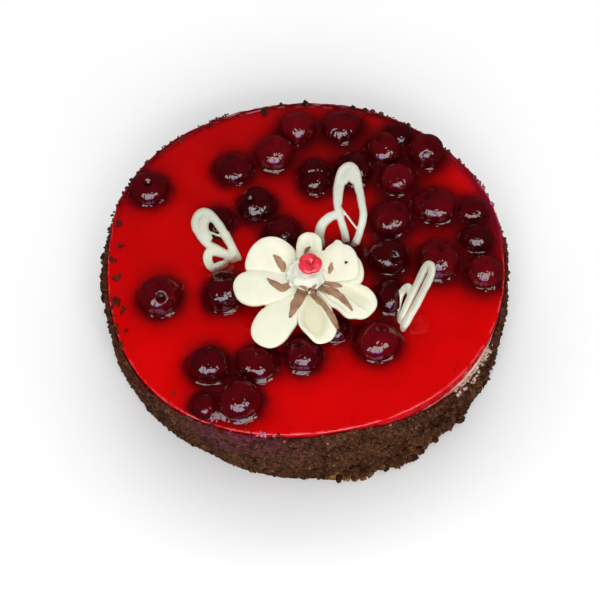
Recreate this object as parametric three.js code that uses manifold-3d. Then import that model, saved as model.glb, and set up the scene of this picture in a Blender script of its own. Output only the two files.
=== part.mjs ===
// Yogurt cream cake: a round uncut cake with a golden sponge base, a thick
// yogurt cream body, a red jelly top with whole pitted cherries set in it,
// a chocolate crumb coat round the side, a piped cream flower with a jam dot
// and three white chocolate filigree loops.
// Millimetres, +Z up, the origin at the middle of the flat underside.

import * as THREE from 'three';
import { mergeVertices } from 'three/addons/utils/BufferGeometryUtils.js';
import Module from 'manifold-3d';

const wasm = await Module();
wasm.setup();

// ---------------------------------------------------------------- sizes
const RIM = 110;          // mean radius of the jelly disc
const TOP = 42;           // height of the jelly surface
const JELLY = 7;          // thickness of the jelly
const SPONGE = 6;         // thickness of the sponge base
const GAP = 0.3;          // play between curved or cut neighbours
const COAT_GAP = 0.6;     // the same behind the crumb coat, whose inside is coarser
const SEGS = 62;          // steps round the cake
const COAT = 2.7;         // mean thickness of the crumb coat
const SHIFT = [-0.385, 0.72];  // puts the middle of the whole box on the axis

// unevenness of the disc's edge: [order, cosine, sine], fractions of RIM
const EDGE = [[1, -0.0052, -0.0037], [2, -0.0003, 0.0039], [3, 0.0091, -0.0039],
              [4, -0.0116, -0.0055], [5, 0.0022, 0.0040]];
// outline of the foot, outside the crumbs: the side leans in at the front left
const FOOT = [[1, 0.0051, -0.0010], [2, -0.0026, -0.0040], [3, -0.0041, 0.0009]];
// clumps of the crumb coat: [angle deg, half width deg, extra mm, height mm]
const CLUMPS = [[296, 8, 3.4, 4], [281, 9, 2.2, 2], [316, 6, 1.2, 10], [338, 7, 1.0, 14],
                [206, 6, 0.8, 20], [181, 10, 2.0, 28], [160, 8, 0.8, 14],
                [132, 7, 0.8, 12], [104, 6, 0.9, 18], [80, 8, 1.0, 10], [52, 7, 1.2, 22],
                [24, 6, 0.9, 16], [258, 7, 0.6, 22], [350, 9, 1.2, 20], [33, 11, 1.6, 36], [70, 8, 1.6, 38], [92, 8, 0.8, 38]];

// cherries: name, x, y, height of the middle above the jelly, radius along x,
// radius along y, height of the dome over the middle
const CHERRIES = [
  ['01', -87.4, 48.3, 1.0, 11.4, 11.1, 9.4], ['02', -39.1, 61.2, 0.5, 11.4, 10.8, 8.4],
  ['03', -15.6, 70.6, 3.0, 11.2, 11.4, 10.0], ['04', -1.8, 89.0, 2.0, 10.3, 10.9, 10.0],
  ['05', 24.0, 89.6, 1.0, 11.9, 11.3, 9.2], ['06', 7.6, 53.6, 1.0, 9.9, 12.0, 9.6],
  ['07', 29.4, 57.8, 2.0, 11.2, 11.2, 10.4], ['08', 47.6, 72.0, 1.5, 10.9, 10.9, 10.0],
  ['09', 57.2, 83.0, 0.0, 8.2, 8.6, 8.4], ['10', 71.7, 68.9, 3.0, 10.8, 10.9, 10.4],
  ['11', 54.1, 50.0, 1.5, 10.6, 10.4, 9.4], ['12', 73.7, 30.6, 1.0, 12.2, 12.0, 10.0],
  ['13', 49.1, 22.4, 1.5, 12.1, 11.5, 9.6], ['14', 95.2, 26.6, 1.0, 8.8, 8.4, 7.6],
  ['15', 95.1, 7.4, 1.0, 9.0, 9.1, 8.6], ['16', 97.4, -15.4, 2.5, 9.6, 9.8, 9.2],
  ['17', 73.1, -6.4, 2.0, 11.9, 12.2, 11.2], ['18', 45.9, -3.4, 2.0, 11.0, 10.9, 9.8],
  ['19', -25.9, 33.8, 2.0, 11.2, 11.1, 9.8], ['20', -12.0, 15.2, 0.0, 10.6, 10.4, 9.4],
  ['21', -47.2, 24.4, -1.0, 9.0, 9.2, 8.4], ['22', -43.6, -23.6, 2.0, 11.0, 12.3, 11.0],
  ['23', -78.1, -25.1, 3.0, 11.7, 11.8, 10.8], ['24', -50.9, -68.6, 2.5, 11.2, 11.1, 10.0],
  ['25', -26.0, -67.6, 1.0, 11.4, 10.3, 8.2], ['26', -1.9, -63.8, 2.0, 9.9, 9.7, 8.6],
  ['27', -34.9, -90.0, 3.0, 11.0, 11.0, 10.6], ['28', -52.8, -91.6, -1.0, 7.2, 7.8, 8.0],
  ['29', 15.9, -48.4, -1.0, 7.4, 7.6, 7.4], ['30', 37.1, -56.8, 1.5, 11.7, 11.2, 9.8],
  ['31', 45.4, -28.6, 0.5, 8.2, 10.8, 9.0], ['32', 21.3, -3.8, 1.0, 10.9, 10.9, 9.4],
];
// pairs pressed together: the first gives way to the second
const PRESSED = [['09', '08'], ['09', '10'], ['20', '19']];
const CH_AROUND = 9;      // facets round a cherry
const CH_BANDS = 5;       // bands from its top to its flattened underside

// petals: inner end, outer end, half width, roll deg, thickness over and
// under the middle sheet, cup (raised edges), arch, [inner sharpness, fullness],
// side bow
const PETALS = {
  petal_1: { a: [-2.0, -15.5, 48.0], b: [-30.8, -6.0, 53.4], w: 13.0, roll: -8, t: 2.7, u: 2.6, cup: -0.6, arch: 1.2, p: 0.56, q: 0.20, bow: -2.4 },
  petal_2: { a: [-3.5, -22.4, 49.0], b: [-37.8, -29.4, 54.2], w: 11.3, roll: 4, t: 2.8, u: 2.8, cup: -0.8, arch: 1.4, p: 0.56, q: 0.34, bow: 0 },
  petal_3: { a: [-1.5, -25.0, 48.2], b: [-23.2, -62.4, 52.4], w: 11.2, roll: 4, t: 2.6, u: 2.6, cup: -0.5, arch: 1.6, p: 0.54, q: 0.26, bow: -1.0 },
  petal_4: { a: [3.4, -27.5, 48.8], b: [8.0, -62.4, 53.2], w: 9.3, roll: 0, t: 2.2, u: 2.4, cup: 2.0, arch: 0.8, p: 0.68, q: 0.26, bow: -0.6 },
  petal_5: { a: [7.0, -22.6, 48.6], b: [35.0, -44.6, 53.2], w: 10.6, roll: -8, t: 2.4, u: 2.5, cup: 1.0, arch: 1.6, p: 0.54, q: 0.30, bow: 0 },
  petal_6: { a: [6.0, -16.6, 50.8], b: [31.8, -13.4, 57.8], w: 12.5, roll: 2, t: 2.6, u: 2.4, cup: -0.8, arch: 1.0, p: 0.54, q: 0.22, bow: 1.0 },
  petal_7: { a: [1.8, -15.5, 48.8], b: [3.4, 5.4, 57.4], w: 6.8, roll: 6, t: 2.6, u: 2.6, cup: -0.8, arch: 1.2, p: 0.50, q: 0.1, bow: 0 },
};
const PETAL_ORDER = ['petal_6', 'petal_4', 'petal_2', 'petal_5', 'petal_3', 'petal_1', 'petal_7'];
const PETAL_STEPS = 8;
const PETAL_FACETS = 10;

// rosette: middle, [radius, height] up its profile, number and depth of lobes
const ROSETTE = { x: 1.2, y: -19.9, lobes: 7, depth: 0.12,
  profile: [[4.6, TOP + GAP], [5.0, 50.6], [9.8, 51.6], [11.0, 54.2], [9.8, 57.2], [6.6, 59.4], [3.0, 58.9]] };
const DOT = { x: 3.1, y: -18.3, r: 6.1, z0: 59.2, h: 5.6 };

// filigree loops: foot, long axis [elevation, azimuth], twist about it,
// strand width and thickness, and the centre lines in the loop's own plane
// [across to the right, along, and where it leaves the plane off it], mm
const LACES = {
  lace_left: { foot: [-36.0, -1.7, 40.6], lean: [45, 133], twist: 0, wide: 5.6, thick: 3.0,
    big: [[0.1, -0.6], [1.2, 7.7], [1.8, 16.6], [1.8, 26.0], [0.1, 33.0], [-3.5, 35.0], [-8.1, 32.3], [-9.7, 26.1], [-9.0, 19.0], [-6.0, 12.4], [-2.9, 5.9], [-1.2, 1.0]],
    small: [[-3.6, 10.9], [-6.5, 13.3], [-9.8, 14.0], [-12.9, 12.0, -0.4], [-14.1, 8.5, -2.2], [-13.1, 5.9, -3.7], [-9.6, 4.5, -2.9], [-5.6, 3.4, -1.0]],
    crown: [[-7.0, 19.5], [-6.6, 25.0], [-4.6, 29.4], [-1.4, 30.4]],
    brace: [[-6.0, 25.6], [0.4, 16.6]] },
  lace_back: { foot: [26.9, 7.8, 43.0], lean: [47, 90], twist: 0, wide: 5.2, thick: 3.0,
    big: [[0.9, -2.6], [4.1, 6.1], [6.2, 15.0], [5.2, 24.0], [3.8, 33.4], [2.6, 39.8], [-0.7, 43.1], [-5.4, 40.0], [-7.7, 32.1], [-8.1, 24.3], [-7.1, 17.0], [-5.2, 9.7], [-3.9, 4.0], [-3.6, -2.0]],
    small: [[-6.9, 16.4], [-11.9, 14.9], [-16.4, 10.9], [-18.1, 5.0], [-18.0, -2.4]],
    crown: [[-4.3, 33.8], [-1.3, 37.4], [1.6, 34.2]],
    brace: [[-6.6, 20.8], [4.0, 5.8]] },
  lace_right: { foot: [50.5, -46.1, 42.0], lean: [50, 48], twist: -50, wide: 5.5, thick: 3.0,
    big: [[1.7, -2.4], [2.4, 8.1], [2.6, 15.1], [2.4, 22.6], [2.2, 29.3], [1.4, 34.3], [-0.8, 37.2], [-3.6, 36.6], [-4.6, 33.2], [-4.3, 28.6], [-4.0, 23.3], [-3.9, 18.0], [-3.5, 12.2], [-3.0, 6.2], [-2.4, -0.6]],
    small: [[-5.0, 17.4], [-8.7, 18.8], [-10.9, 16.0], [-11.4, 12.1], [-10.4, 8.5], [-8.5, 4.3], [-6.6, 0.6]] },
};

const COLOURS = {
  sponge: [0xc9964e, 0.95], cream: [0xe9cfb4, 0.6], jelly: [0xb80308, 0.12],
  crumb: [0x4b3222, 0.95], cherry: [0x4a0309, 0.2], flower: [0xf1f0d6, 0.5],
  dot: [0xe23247, 0.3], lace: [0xd6d8c4, 0.45],
};

// ------------------------------------------------------------- helpers
const rad = (d) => d * Math.PI / 180;
const mix = (a, b, t) => a + (b - a) * t;

function edgeRadius(t) {
  let r = 1.003;
  for (const [k, c, s] of EDGE) r += c * Math.cos(k * t) + s * Math.sin(k * t);
  return RIM * r;
}

function around(t, deg) {   // smallest angle between t and deg, in degrees
  let d = (t * 180 / Math.PI - deg) % 360;
  if (d > 180) d -= 360;
  if (d < -180) d += 360;
  return d;
}

function footRadius(t) {
  let r = 1.0346;
  for (const [k, c, s] of FOOT) r += c * Math.cos(k * t) + s * Math.sin(k * t);
  return RIM * r;
}

function coreRadius(t, z) {  // the cake inside its coat, foot to jelly
  return mix(footRadius(t) - COAT - 0.6, edgeRadius(t), z / TOP);
}

function coatOutside(t, z) {
  let r = coreRadius(t, z) + COAT + 0.45 * Math.sin(7 * t + 0.6) + 0.35 * Math.sin(13 * t + z * 0.21)
        + 0.25 * Math.sin(22 * t - z * 0.3);
  r += 0.6 * Math.exp(-z / 6);                          // loose foot of the coat
  for (const [a, w, e, zc] of CLUMPS) {
    const d = around(t, a) / w;
    r += e * Math.exp(-d * d) * Math.exp(-Math.pow((z - zc) / 12, 2));
  }
  return r;
}

// the coat's upper edge: [angle deg, half width deg, rise mm]; it stops lower
// at the front right, where the cream shows
const COAT_EDGE = [[322, 30, -9.5], [70, 9, 2.2], [93, 10, 1.6], [36, 16, 1.4], [178, 12, 1.2],
                   [252, 12, 0.8], [120, 10, 0.6]];
function coatTop(t) {
  let z = TOP - 1.6 + 0.6 * Math.sin(9 * t + 1) + 0.4 * Math.sin(17 * t);
  for (const [a, w, e] of COAT_EDGE) {
    const d = around(t, a) / w;
    z += e * Math.exp(-Math.pow(d, e < 0 ? 4 : 2));
  }
  return z;
}

function geometry(points, faces) {
  const g = new THREE.BufferGeometry();
  g.setAttribute('position', new THREE.Float32BufferAttribute(points.flat(), 3));
  g.setIndex(faces.flat());
  return g;
}

// closed body from rings of equal length, closed by a point at each end
function spindle(rings, first, last) {
  const n = rings[0].length, pts = [first], faces = [];
  for (const r of rings) pts.push(...r);
  pts.push(last);
  const at = (i, j) => 1 + i * n + (j % n);
  for (let j = 0; j < n; j++) faces.push([0, at(0, j + 1), at(0, j)]);
  for (let i = 0; i + 1 < rings.length; i++)
    for (let j = 0; j < n; j++) {
      faces.push([at(i, j), at(i, j + 1), at(i + 1, j + 1)]);
      faces.push([at(i, j), at(i + 1, j + 1), at(i + 1, j)]);
    }
  const e = pts.length - 1, m = rings.length - 1;
  for (let j = 0; j < n; j++) faces.push([at(m, j), at(m, j + 1), e]);
  return facingOut(geometry(pts, faces));
}

// closed ring body: section(t) gives the points of its section at angle t
function hoop(section, steps) {
  const pts = [], faces = [];
  let n = 0;
  for (let i = 0; i < steps; i++) {
    const s = section(2 * Math.PI * i / steps);
    n = s.length;
    pts.push(...s);
  }
  for (let i = 0; i < steps; i++)
    for (let j = 0; j < n; j++) {
      const a = i * n + j, b = i * n + (j + 1) % n, k = ((i + 1) % steps) * n;
      const c = k + (j + 1) % n, d = k + j;
      faces.push([a, b, c], [a, c, d]);
    }
  return facingOut(geometry(pts, faces));
}

function volume(g) {
  const p = g.attributes.position, ix = g.index.array;
  let v = 0;
  for (let i = 0; i < ix.length; i += 3) {
    const [a, b, c] = [ix[i], ix[i + 1], ix[i + 2]].map((k) => new THREE.Vector3().fromBufferAttribute(p, k));
    v += a.dot(b.cross(c)) / 6;
  }
  return v;
}

function facingOut(g) {
  if (volume(g) < 0) {
    const ix = g.index.array;
    for (let i = 0; i < ix.length; i += 3) [ix[i + 1], ix[i + 2]] = [ix[i + 2], ix[i + 1]];
  }
  return g;
}

function solid(g) {
  let h = g.clone();
  for (const k of Object.keys(h.attributes)) if (k !== 'position') h.deleteAttribute(k);
  h = mergeVertices(h, 1e-4);
  return new wasm.Manifold(new wasm.Mesh({ numProp: 3,
    vertProperties: new Float32Array(h.attributes.position.array),
    triVerts: new Uint32Array(h.index.array) }));
}

function surface(m) {
  const out = m.getMesh(), g = new THREE.BufferGeometry();
  g.setAttribute('position', new THREE.Float32BufferAttribute(Array.from(out.vertProperties), 3));
  g.setIndex(Array.from(out.triVerts));
  return g;
}

// smooth curve through a few points of a plane or of space
function through(points, steps, closed = false) {
  const c = new THREE.CatmullRomCurve3(points, closed, 'centripetal');
  return c.getSpacedPoints(steps);
}

// ---------------------------------------------------------- the layers
function layer(z0, z1) {
  const lo = [], hi = [];
  for (let i = 0; i < SEGS; i++) {
    const t = 2 * Math.PI * i / SEGS, r0 = coreRadius(t, z0), r1 = coreRadius(t, z1);
    lo.push([r0 * Math.cos(t), r0 * Math.sin(t), z0]);
    hi.push([r1 * Math.cos(t), r1 * Math.sin(t), z1]);
  }
  return spindle([lo, hi], [0, 0, z0], [0, 0, z1]);
}

function crumbCoat() {
  const levels = [0, 0.16, 0.4, 0.7, 0.93];
  return hoop((t) => {
    const c = Math.cos(t), s = Math.sin(t), top = coatTop(t);
    const inner = (z) => coreRadius(t, z) + COAT_GAP;
    const sec = [[inner(0) * c, inner(0) * s, 0]];
    for (const k of levels) {
      const z = k * top, r = coatOutside(t, z) - (k > 0.9 ? 1.1 : 0);
      sec.push([r * c, r * s, z]);
    }
    sec.push([(inner(top) + 1.0) * c, (inner(top) + 1.0) * s, top]);
    sec.push([inner(top - 0.7) * c, inner(top - 0.7) * s, top - 0.7]);
    return sec;
  }, SEGS);
}

// ---------------------------------------------------------- cherries
// round above, flattened where it stands on the cream, with a slight waist
function cherry([, x, y, dz, rx, ry, dome], grow = 0, through = false) {
  const zc = TOP + dz, foot = TOP - JELLY + GAP, seed = x * 0.37 + y * 0.61;
  const depth = zc - foot, rings = [];
  const bands = CH_BANDS, n = CH_AROUND;
  for (let i = 1; i < bands; i++) {
    const f = Math.PI * i / bands, c = Math.cos(f);
    const s = Math.pow(Math.sin(f), c < 0 ? 0.62 : 0.94);
    const z = zc + (c > 0 ? (dome + grow) * c : (depth + grow) * Math.max(c * 1.22, -1));
    const ring = [];
    for (let j = 0; j < n; j++) {
      const t = 2 * Math.PI * j / n + 0.3;
      const k = 1 + 0.022 * Math.sin(2 * t + seed) + 0.018 * Math.sin(3 * t + 2 * seed);
      ring.push([x + (rx * k + grow) * s * Math.cos(t), y + (ry * k + grow) * s * Math.sin(t), z]);
    }
    rings.push(ring);
  }
  const low = through ? foot - 2 : foot - grow;
  if (through) rings[rings.length - 1] = rings[rings.length - 1].map((p) => [p[0], p[1], foot - 1.2]);
  return spindle(rings, [x, y, zc + dome * 0.97 + grow], [x, y, low]);
}

// ------------------------------------------------------------- petals
function petal(d, grow = 0) {
  const A = new THREE.Vector3(...d.a), B = new THREE.Vector3(...d.b);
  const ax = B.clone().sub(A), L = ax.length();
  ax.normalize();
  const side = new THREE.Vector3(0, 0, 1).cross(ax).normalize();
  const up = ax.clone().cross(side);
  const r = rad(d.roll);
  const n = side.clone().multiplyScalar(Math.cos(r)).addScaledVector(up, Math.sin(r));
  const u = side.clone().multiplyScalar(-Math.sin(r)).addScaledVector(up, Math.cos(r));
  const place = (x, y, z) => A.clone().addScaledVector(ax, x).addScaledVector(n, y).addScaledVector(u, z).toArray();
  const rings = [];
  for (let i = 1; i < PETAL_STEPS; i++) {
    const th = Math.PI * i / PETAL_STEPS, s = 0.5 - 0.5 * Math.cos(th);
    const half = (d.w + grow) * Math.pow(Math.sin(th), d.p) * (1 + d.q * (s - 0.5) * 2);
    const e = Math.pow(Math.sin(th), 0.75), ring = [];
    for (let j = 0; j < PETAL_FACETS; j++) {
      const f = 2 * Math.PI * j / PETAL_FACETS, c = Math.cos(f), q = Math.sin(f);
      const x = -grow + (L + 2 * grow) * s;
      const lat = c * half + d.bow * Math.sin(Math.PI * s);
      const ver = (q > 0 ? d.t + grow : d.u + grow) * e * q;
      const mid = (d.cup * c * c + d.arch) * Math.sin(Math.PI * s);
      ring.push(place(x, lat, ver + mid));
    }
    rings.push(ring);
  }
  return spindle(rings, place(-grow, 0, 0), place(L + grow, 0, 0));
}

function rosette(grow = 0) {
  const { x, y, lobes, depth, profile } = ROSETTE, n = lobes * 2, rings = [];
  profile.forEach(([r, z], i) => {
    const ring = [], k = i > 1 ? depth : 0;
    const dz = i === 0 ? -grow : i >= 5 ? grow : 0;
    for (let j = 0; j < n; j++) {
      const t = 2 * Math.PI * j / n;
      const rr = (r + grow) * (1 + k * Math.cos(lobes * t + 0.25 * i));
      ring.push([x + rr * Math.cos(t), y + rr * Math.sin(t), z + dz]);
    }
    rings.push(ring);
  });
  const z0 = profile[0][1] - grow, z1 = profile[profile.length - 1][1] + grow;
  return spindle(rings, [x, y, z0], [x, y, z1]);
}

function jamDot(grow = 0) {
  const { x, y, r, z0, h } = DOT, n = 12, rings = [];
  for (const [k, q] of [[0.62, 0], [0.98, 0.14], [1.0, 0.42], [0.8, 0.8], [0.44, 1.0], [0.2, 0.93]]) {
    const ring = [];
    for (let j = 0; j < n; j++) {
      const t = 2 * Math.PI * j / n, w = 1 + 0.05 * Math.cos(3 * t + 1);
      ring.push([x + (r * k * w + grow) * Math.cos(t), y + (r * k * w + grow) * Math.sin(t), z0 + h * q + (q > 0.5 ? grow : q < 0.1 ? -grow : 0)]);
    }
    rings.push(ring);
  }
  return spindle(rings, [x, y, z0 - grow], [x, y, z0 + h * 0.86 + grow]);
}

// ------------------------------------------------------- filigree loops
function strand(points, wide, thick, across, normal, steps, grow = 0) {
  const line = through(points, steps), rings = [], facets = 6;
  line.forEach((p, i) => {
    const a = line[Math.max(0, i - 1)], b = line[Math.min(line.length - 1, i + 1)];
    const along = b.clone().sub(a).normalize();
    const side = along.clone().cross(normal).normalize();
    const end = (i === 0 || i === line.length - 1) ? 0.72 : 1;
    const ring = [];
    for (let j = 0; j < facets; j++) {
      const f = 2 * Math.PI * j / facets;
      ring.push(p.clone().addScaledVector(side, (wide / 2 + grow) * end * Math.cos(f))
        .addScaledVector(normal, (thick / 2 + grow) * end * Math.sin(f)).toArray());
    }
    rings.push(ring);
  });
  const m = line.length - 1;
  const tip = (p, q) => p.clone().addScaledVector(p.clone().sub(q).normalize(), wide * 0.22 + grow).toArray();
  let body = null;                                      // convex lengths joined, so a curl may touch itself
  for (let i = 0; i < m; i++) {
    const pts = [...rings[i], ...rings[i + 1]];
    if (i === 0) pts.push(tip(line[0], line[1]));
    if (i === m - 1) pts.push(tip(line[m], line[m - 1]));
    const h = wasm.Manifold.hull(pts);
    body = body ? body.add(h) : h;
  }
  return body;
}

function lace(d, grow = 0) {
  const [E, A] = d.lean.map(rad), tw = rad(d.twist);
  const axis = new THREE.Vector3(Math.cos(E) * Math.cos(A), Math.cos(E) * Math.sin(A), Math.sin(E));
  const view = new THREE.Vector3(0, 0.538, -0.843);
  const n0 = view.clone().addScaledVector(axis, -view.dot(axis)).normalize();
  const r0 = n0.clone().cross(axis).normalize();          // to the right, seen from the front
  const across = r0.clone().multiplyScalar(Math.cos(tw)).addScaledVector(n0, Math.sin(tw));
  const normal = r0.clone().multiplyScalar(-Math.sin(tw)).addScaledVector(n0, Math.cos(tw));
  const foot = new THREE.Vector3(...d.foot);
  const place = ([s, l, o = 0]) => foot.clone().addScaledVector(across, s).addScaledVector(axis, l).addScaledVector(normal, o);
  const run = (pts, w, t, steps) => strand(pts.map(place), w, t, across, normal, steps, grow);
  let body = run(d.big, d.wide, d.thick, 14);
  body = body.add(run(d.small, d.wide * 0.96, d.thick * 0.94, d.small.length - 1));
  if (d.crown) body = body.add(run(d.crown, d.wide, d.thick * 0.96, 3));
  if (d.brace) body = body.add(run(d.brace, 1.7, 1.5, 2));
  return body.decompose().sort((a, b) => b.volume() - a.volume())[0];   // no gap left closed in
}

// ------------------------------------------------------------ assembly
const bodies = {};
const cherrySolid = {};
for (const c of CHERRIES) cherrySolid['cherry_' + c[0]] = solid(cherry(c));

const laceSolid = {}, laceGrown = {};
for (const k in LACES) { laceSolid[k] = lace(LACES[k]); laceGrown[k] = lace(LACES[k], GAP); }

let jelly = solid(layer(TOP - JELLY, TOP));
for (const c of CHERRIES) jelly = jelly.subtract(solid(cherry(c, GAP, true)));
for (const k in LACES) jelly = jelly.subtract(laceGrown[k]);

bodies.sponge_base = layer(0, SPONGE);
bodies.yogurt_cream = layer(SPONGE, TOP - JELLY);
bodies.jelly_top = surface(jelly);
bodies.crumb_coat = crumbCoat();

for (const k in cherrySolid) {
  let b = cherrySolid[k];
  for (const l in LACES) b = b.subtract(laceGrown[l]);
  for (const [soft, firm] of PRESSED)
    if (k === 'cherry_' + soft) b = b.subtract(solid(cherry(CHERRIES.find((c) => c[0] === firm), GAP)));
  bodies[k] = surface(b);
}

// the petals overlap like shingles, so each lower one is cut round those on it
const above = [solid(rosette(GAP)), ...Object.values(laceGrown)];
for (const c of CHERRIES) above.push(solid(cherry(c, GAP)));
for (const k of PETAL_ORDER) {
  let b = solid(petal(PETALS[k]));
  for (const a of above) b = b.subtract(a);
  bodies[k] = surface(b);
  above.push(solid(petal(PETALS[k], GAP)));
}
bodies.rosette = surface(solid(rosette()).subtract(solid(jamDot(GAP))));
bodies.jam_dot = jamDot();
for (const k in laceSolid) bodies[k] = surface(laceSolid[k]);

function finish(name) {
  const kind = name === 'sponge_base' ? 'sponge' : name === 'yogurt_cream' ? 'cream'
    : name === 'jelly_top' ? 'jelly' : name === 'crumb_coat' ? 'crumb'
    : name.startsWith('cherry') ? 'cherry' : name.startsWith('lace') ? 'lace'
    : name === 'jam_dot' ? 'dot' : 'flower';
  const [color, roughness] = COLOURS[kind];
  return new THREE.MeshStandardMaterial({ color, roughness, metalness: 0 });
}

const group = new THREE.Group();
group.name = 'yogurt_cream_cake';
group.position.set(SHIFT[0], SHIFT[1], 0);
for (const [name, g] of Object.entries(bodies)) {
  const mesh = new THREE.Mesh(g, finish(name));
  mesh.name = name;
  group.add(mesh);
}

export default group;
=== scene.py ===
"""Looks of the yogurt cream cake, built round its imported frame.
Sizes are in millimetres in the cake's own axes; place() moves them to the frame and to metres."""
import itertools
import math

import bpy
import numpy as np
from mathutils import Matrix, Vector
from mathutils.bvhtree import BVHTree
from mathutils.geometry import delaunay_2d_cdt


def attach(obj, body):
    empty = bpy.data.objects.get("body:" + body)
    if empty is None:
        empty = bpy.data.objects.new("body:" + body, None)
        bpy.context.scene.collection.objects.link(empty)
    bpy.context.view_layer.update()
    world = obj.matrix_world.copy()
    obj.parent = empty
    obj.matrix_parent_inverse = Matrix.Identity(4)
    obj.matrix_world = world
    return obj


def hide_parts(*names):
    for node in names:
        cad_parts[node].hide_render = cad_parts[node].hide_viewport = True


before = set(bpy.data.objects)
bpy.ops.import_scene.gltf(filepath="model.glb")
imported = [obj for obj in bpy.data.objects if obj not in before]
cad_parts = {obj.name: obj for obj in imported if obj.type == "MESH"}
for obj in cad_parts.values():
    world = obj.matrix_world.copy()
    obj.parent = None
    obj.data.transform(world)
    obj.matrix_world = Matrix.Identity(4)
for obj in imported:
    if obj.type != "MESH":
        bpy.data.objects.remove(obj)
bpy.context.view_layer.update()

# ------------------------------------------------------------------ sizes
RIM, TOP, JELLY, SPONGE, GAP = 110.0, 42.0, 7.0, 6.0, 0.3
COAT_GAP, COAT = 0.6, 2.7
SHIFT = (-0.385, 0.72, 0.0)

EDGE = [(1, -0.0052, -0.0037), (2, -0.0003, 0.0039), (3, 0.0091, -0.0039),
        (4, -0.0116, -0.0055), (5, 0.0022, 0.0040)]
FOOT = [(1, 0.0051, -0.0010), (2, -0.0026, -0.0040), (3, -0.0041, 0.0009)]
CLUMPS = [(296, 8, 3.4, 4), (281, 9, 2.2, 2), (316, 6, 1.2, 10), (338, 7, 1.0, 14),
          (206, 6, 0.8, 20), (181, 10, 2.0, 28), (160, 8, 0.8, 14),
          (132, 7, 0.8, 12), (104, 6, 0.9, 18), (80, 8, 1.0, 10), (52, 7, 1.2, 22),
          (24, 6, 0.9, 16), (258, 7, 0.6, 22), (350, 9, 1.2, 20), (33, 11, 1.6, 36), (70, 8, 1.6, 38), (92, 8, 0.8, 38)]
COAT_EDGE = [(322, 30, -9.5), (70, 9, 2.2), (93, 10, 1.6), (36, 16, 1.4), (178, 12, 1.2),
             (252, 12, 0.8), (120, 10, 0.6)]

CHERRIES = [
    ("01", -87.4, 48.3, 1.0, 11.4, 11.1, 9.4), ("02", -39.1, 61.2, 0.5, 11.4, 10.8, 8.4),
    ("03", -15.6, 70.6, 3.0, 11.2, 11.4, 10.0), ("04", -1.8, 89.0, 2.0, 10.3, 10.9, 10.0),
    ("05", 24.0, 89.6, 1.0, 11.9, 11.3, 9.2), ("06", 7.6, 53.6, 1.0, 9.9, 12.0, 9.6),
    ("07", 29.4, 57.8, 2.0, 11.2, 11.2, 10.4), ("08", 47.6, 72.0, 1.5, 10.9, 10.9, 10.0),
    ("09", 57.2, 83.0, 0.0, 8.2, 8.6, 8.4), ("10", 71.7, 68.9, 3.0, 10.8, 10.9, 10.4),
    ("11", 54.1, 50.0, 1.5, 10.6, 10.4, 9.4), ("12", 73.7, 30.6, 1.0, 12.2, 12.0, 10.0),
    ("13", 49.1, 22.4, 1.5, 12.1, 11.5, 9.6), ("14", 95.2, 26.6, 1.0, 8.8, 8.4, 7.6),
    ("15", 95.1, 7.4, 1.0, 9.0, 9.1, 8.6), ("16", 97.4, -15.4, 2.5, 9.6, 9.8, 9.2),
    ("17", 73.1, -6.4, 2.0, 11.9, 12.2, 11.2), ("18", 45.9, -3.4, 2.0, 11.0, 10.9, 9.8),
    ("19", -25.9, 33.8, 2.0, 11.2, 11.1, 9.8), ("20", -12.0, 15.2, 0.0, 10.6, 10.4, 9.4),
    ("21", -47.2, 24.4, -1.0, 9.0, 9.2, 8.4), ("22", -43.6, -23.6, 2.0, 11.0, 12.3, 11.0),
    ("23", -78.1, -25.1, 3.0, 11.7, 11.8, 10.8), ("24", -50.9, -68.6, 2.5, 11.2, 11.1, 10.0),
    ("25", -26.0, -67.6, 1.0, 11.4, 10.3, 8.2), ("26", -1.9, -63.8, 2.0, 9.9, 9.7, 8.6),
    ("27", -34.9, -90.0, 3.0, 11.0, 11.0, 10.6), ("28", -52.8, -91.6, -1.0, 7.2, 7.8, 8.0),
    ("29", 15.9, -48.4, -1.0, 7.4, 7.6, 7.4), ("30", 37.1, -56.8, 1.5, 11.7, 11.2, 9.8),
    ("31", 45.4, -28.6, 0.5, 8.2, 10.8, 9.0), ("32", 21.3, -3.8, 1.0, 10.9, 10.9, 9.4),
]
# stone holes and dimples: cherry, offset of the middle, half width, depth
DIMPLES = {"01": [(0.4, -1.6, 2.3, 2.6)], "23": [(1.8, -6.4, 2.2, 2.6)], "18": [(3.1, -5.2, 2.4, 2.8)],
           "22": [(-1.2, 4.4, 3.2, 1.9), (2.6, 4.0, 2.4, 1.6)], "26": [(-2.4, 3.0, 2.6, 2.4)],
           "19": [(-3.4, -1.6, 2.4, 2.4)], "13": [(4.4, 2.6, 2.6, 1.4)], "08": [(-3.2, 2.2, 2.4, 1.5)],
           "30": [(2.6, 3.6, 2.8, 1.2)], "12": [(-4.6, 1.2, 2.6, 1.3)], "05": [(4.0, 3.0, 2.6, 1.2)],
           "10": [(0.4, -1.0, 2.6, 1.0)], "25": [(2.0, 2.0, 2.4, 0.9)], "07": [(-4.0, 1.0, 2.2, 1.5)],
           "17": [(1.2, 1.6, 2.6, 1.6)], "02": [(-2.0, 3.0, 2.6, 1.1)]}

CHERRY_TONE = {"04": 0.9, "03": 0.75, "30": 0.8, "12": 0.55, "17": 0.6, "16": 0.75, "07": 0.05, "24": 0.25, "22": 0.2,
               "27": 0.4, "02": 0.3, "11": 0.6, "01": 0.35, "23": 0.5, "25": 0.4, "10": 0.35, "13": 0.45, "32": 0.1}

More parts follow.
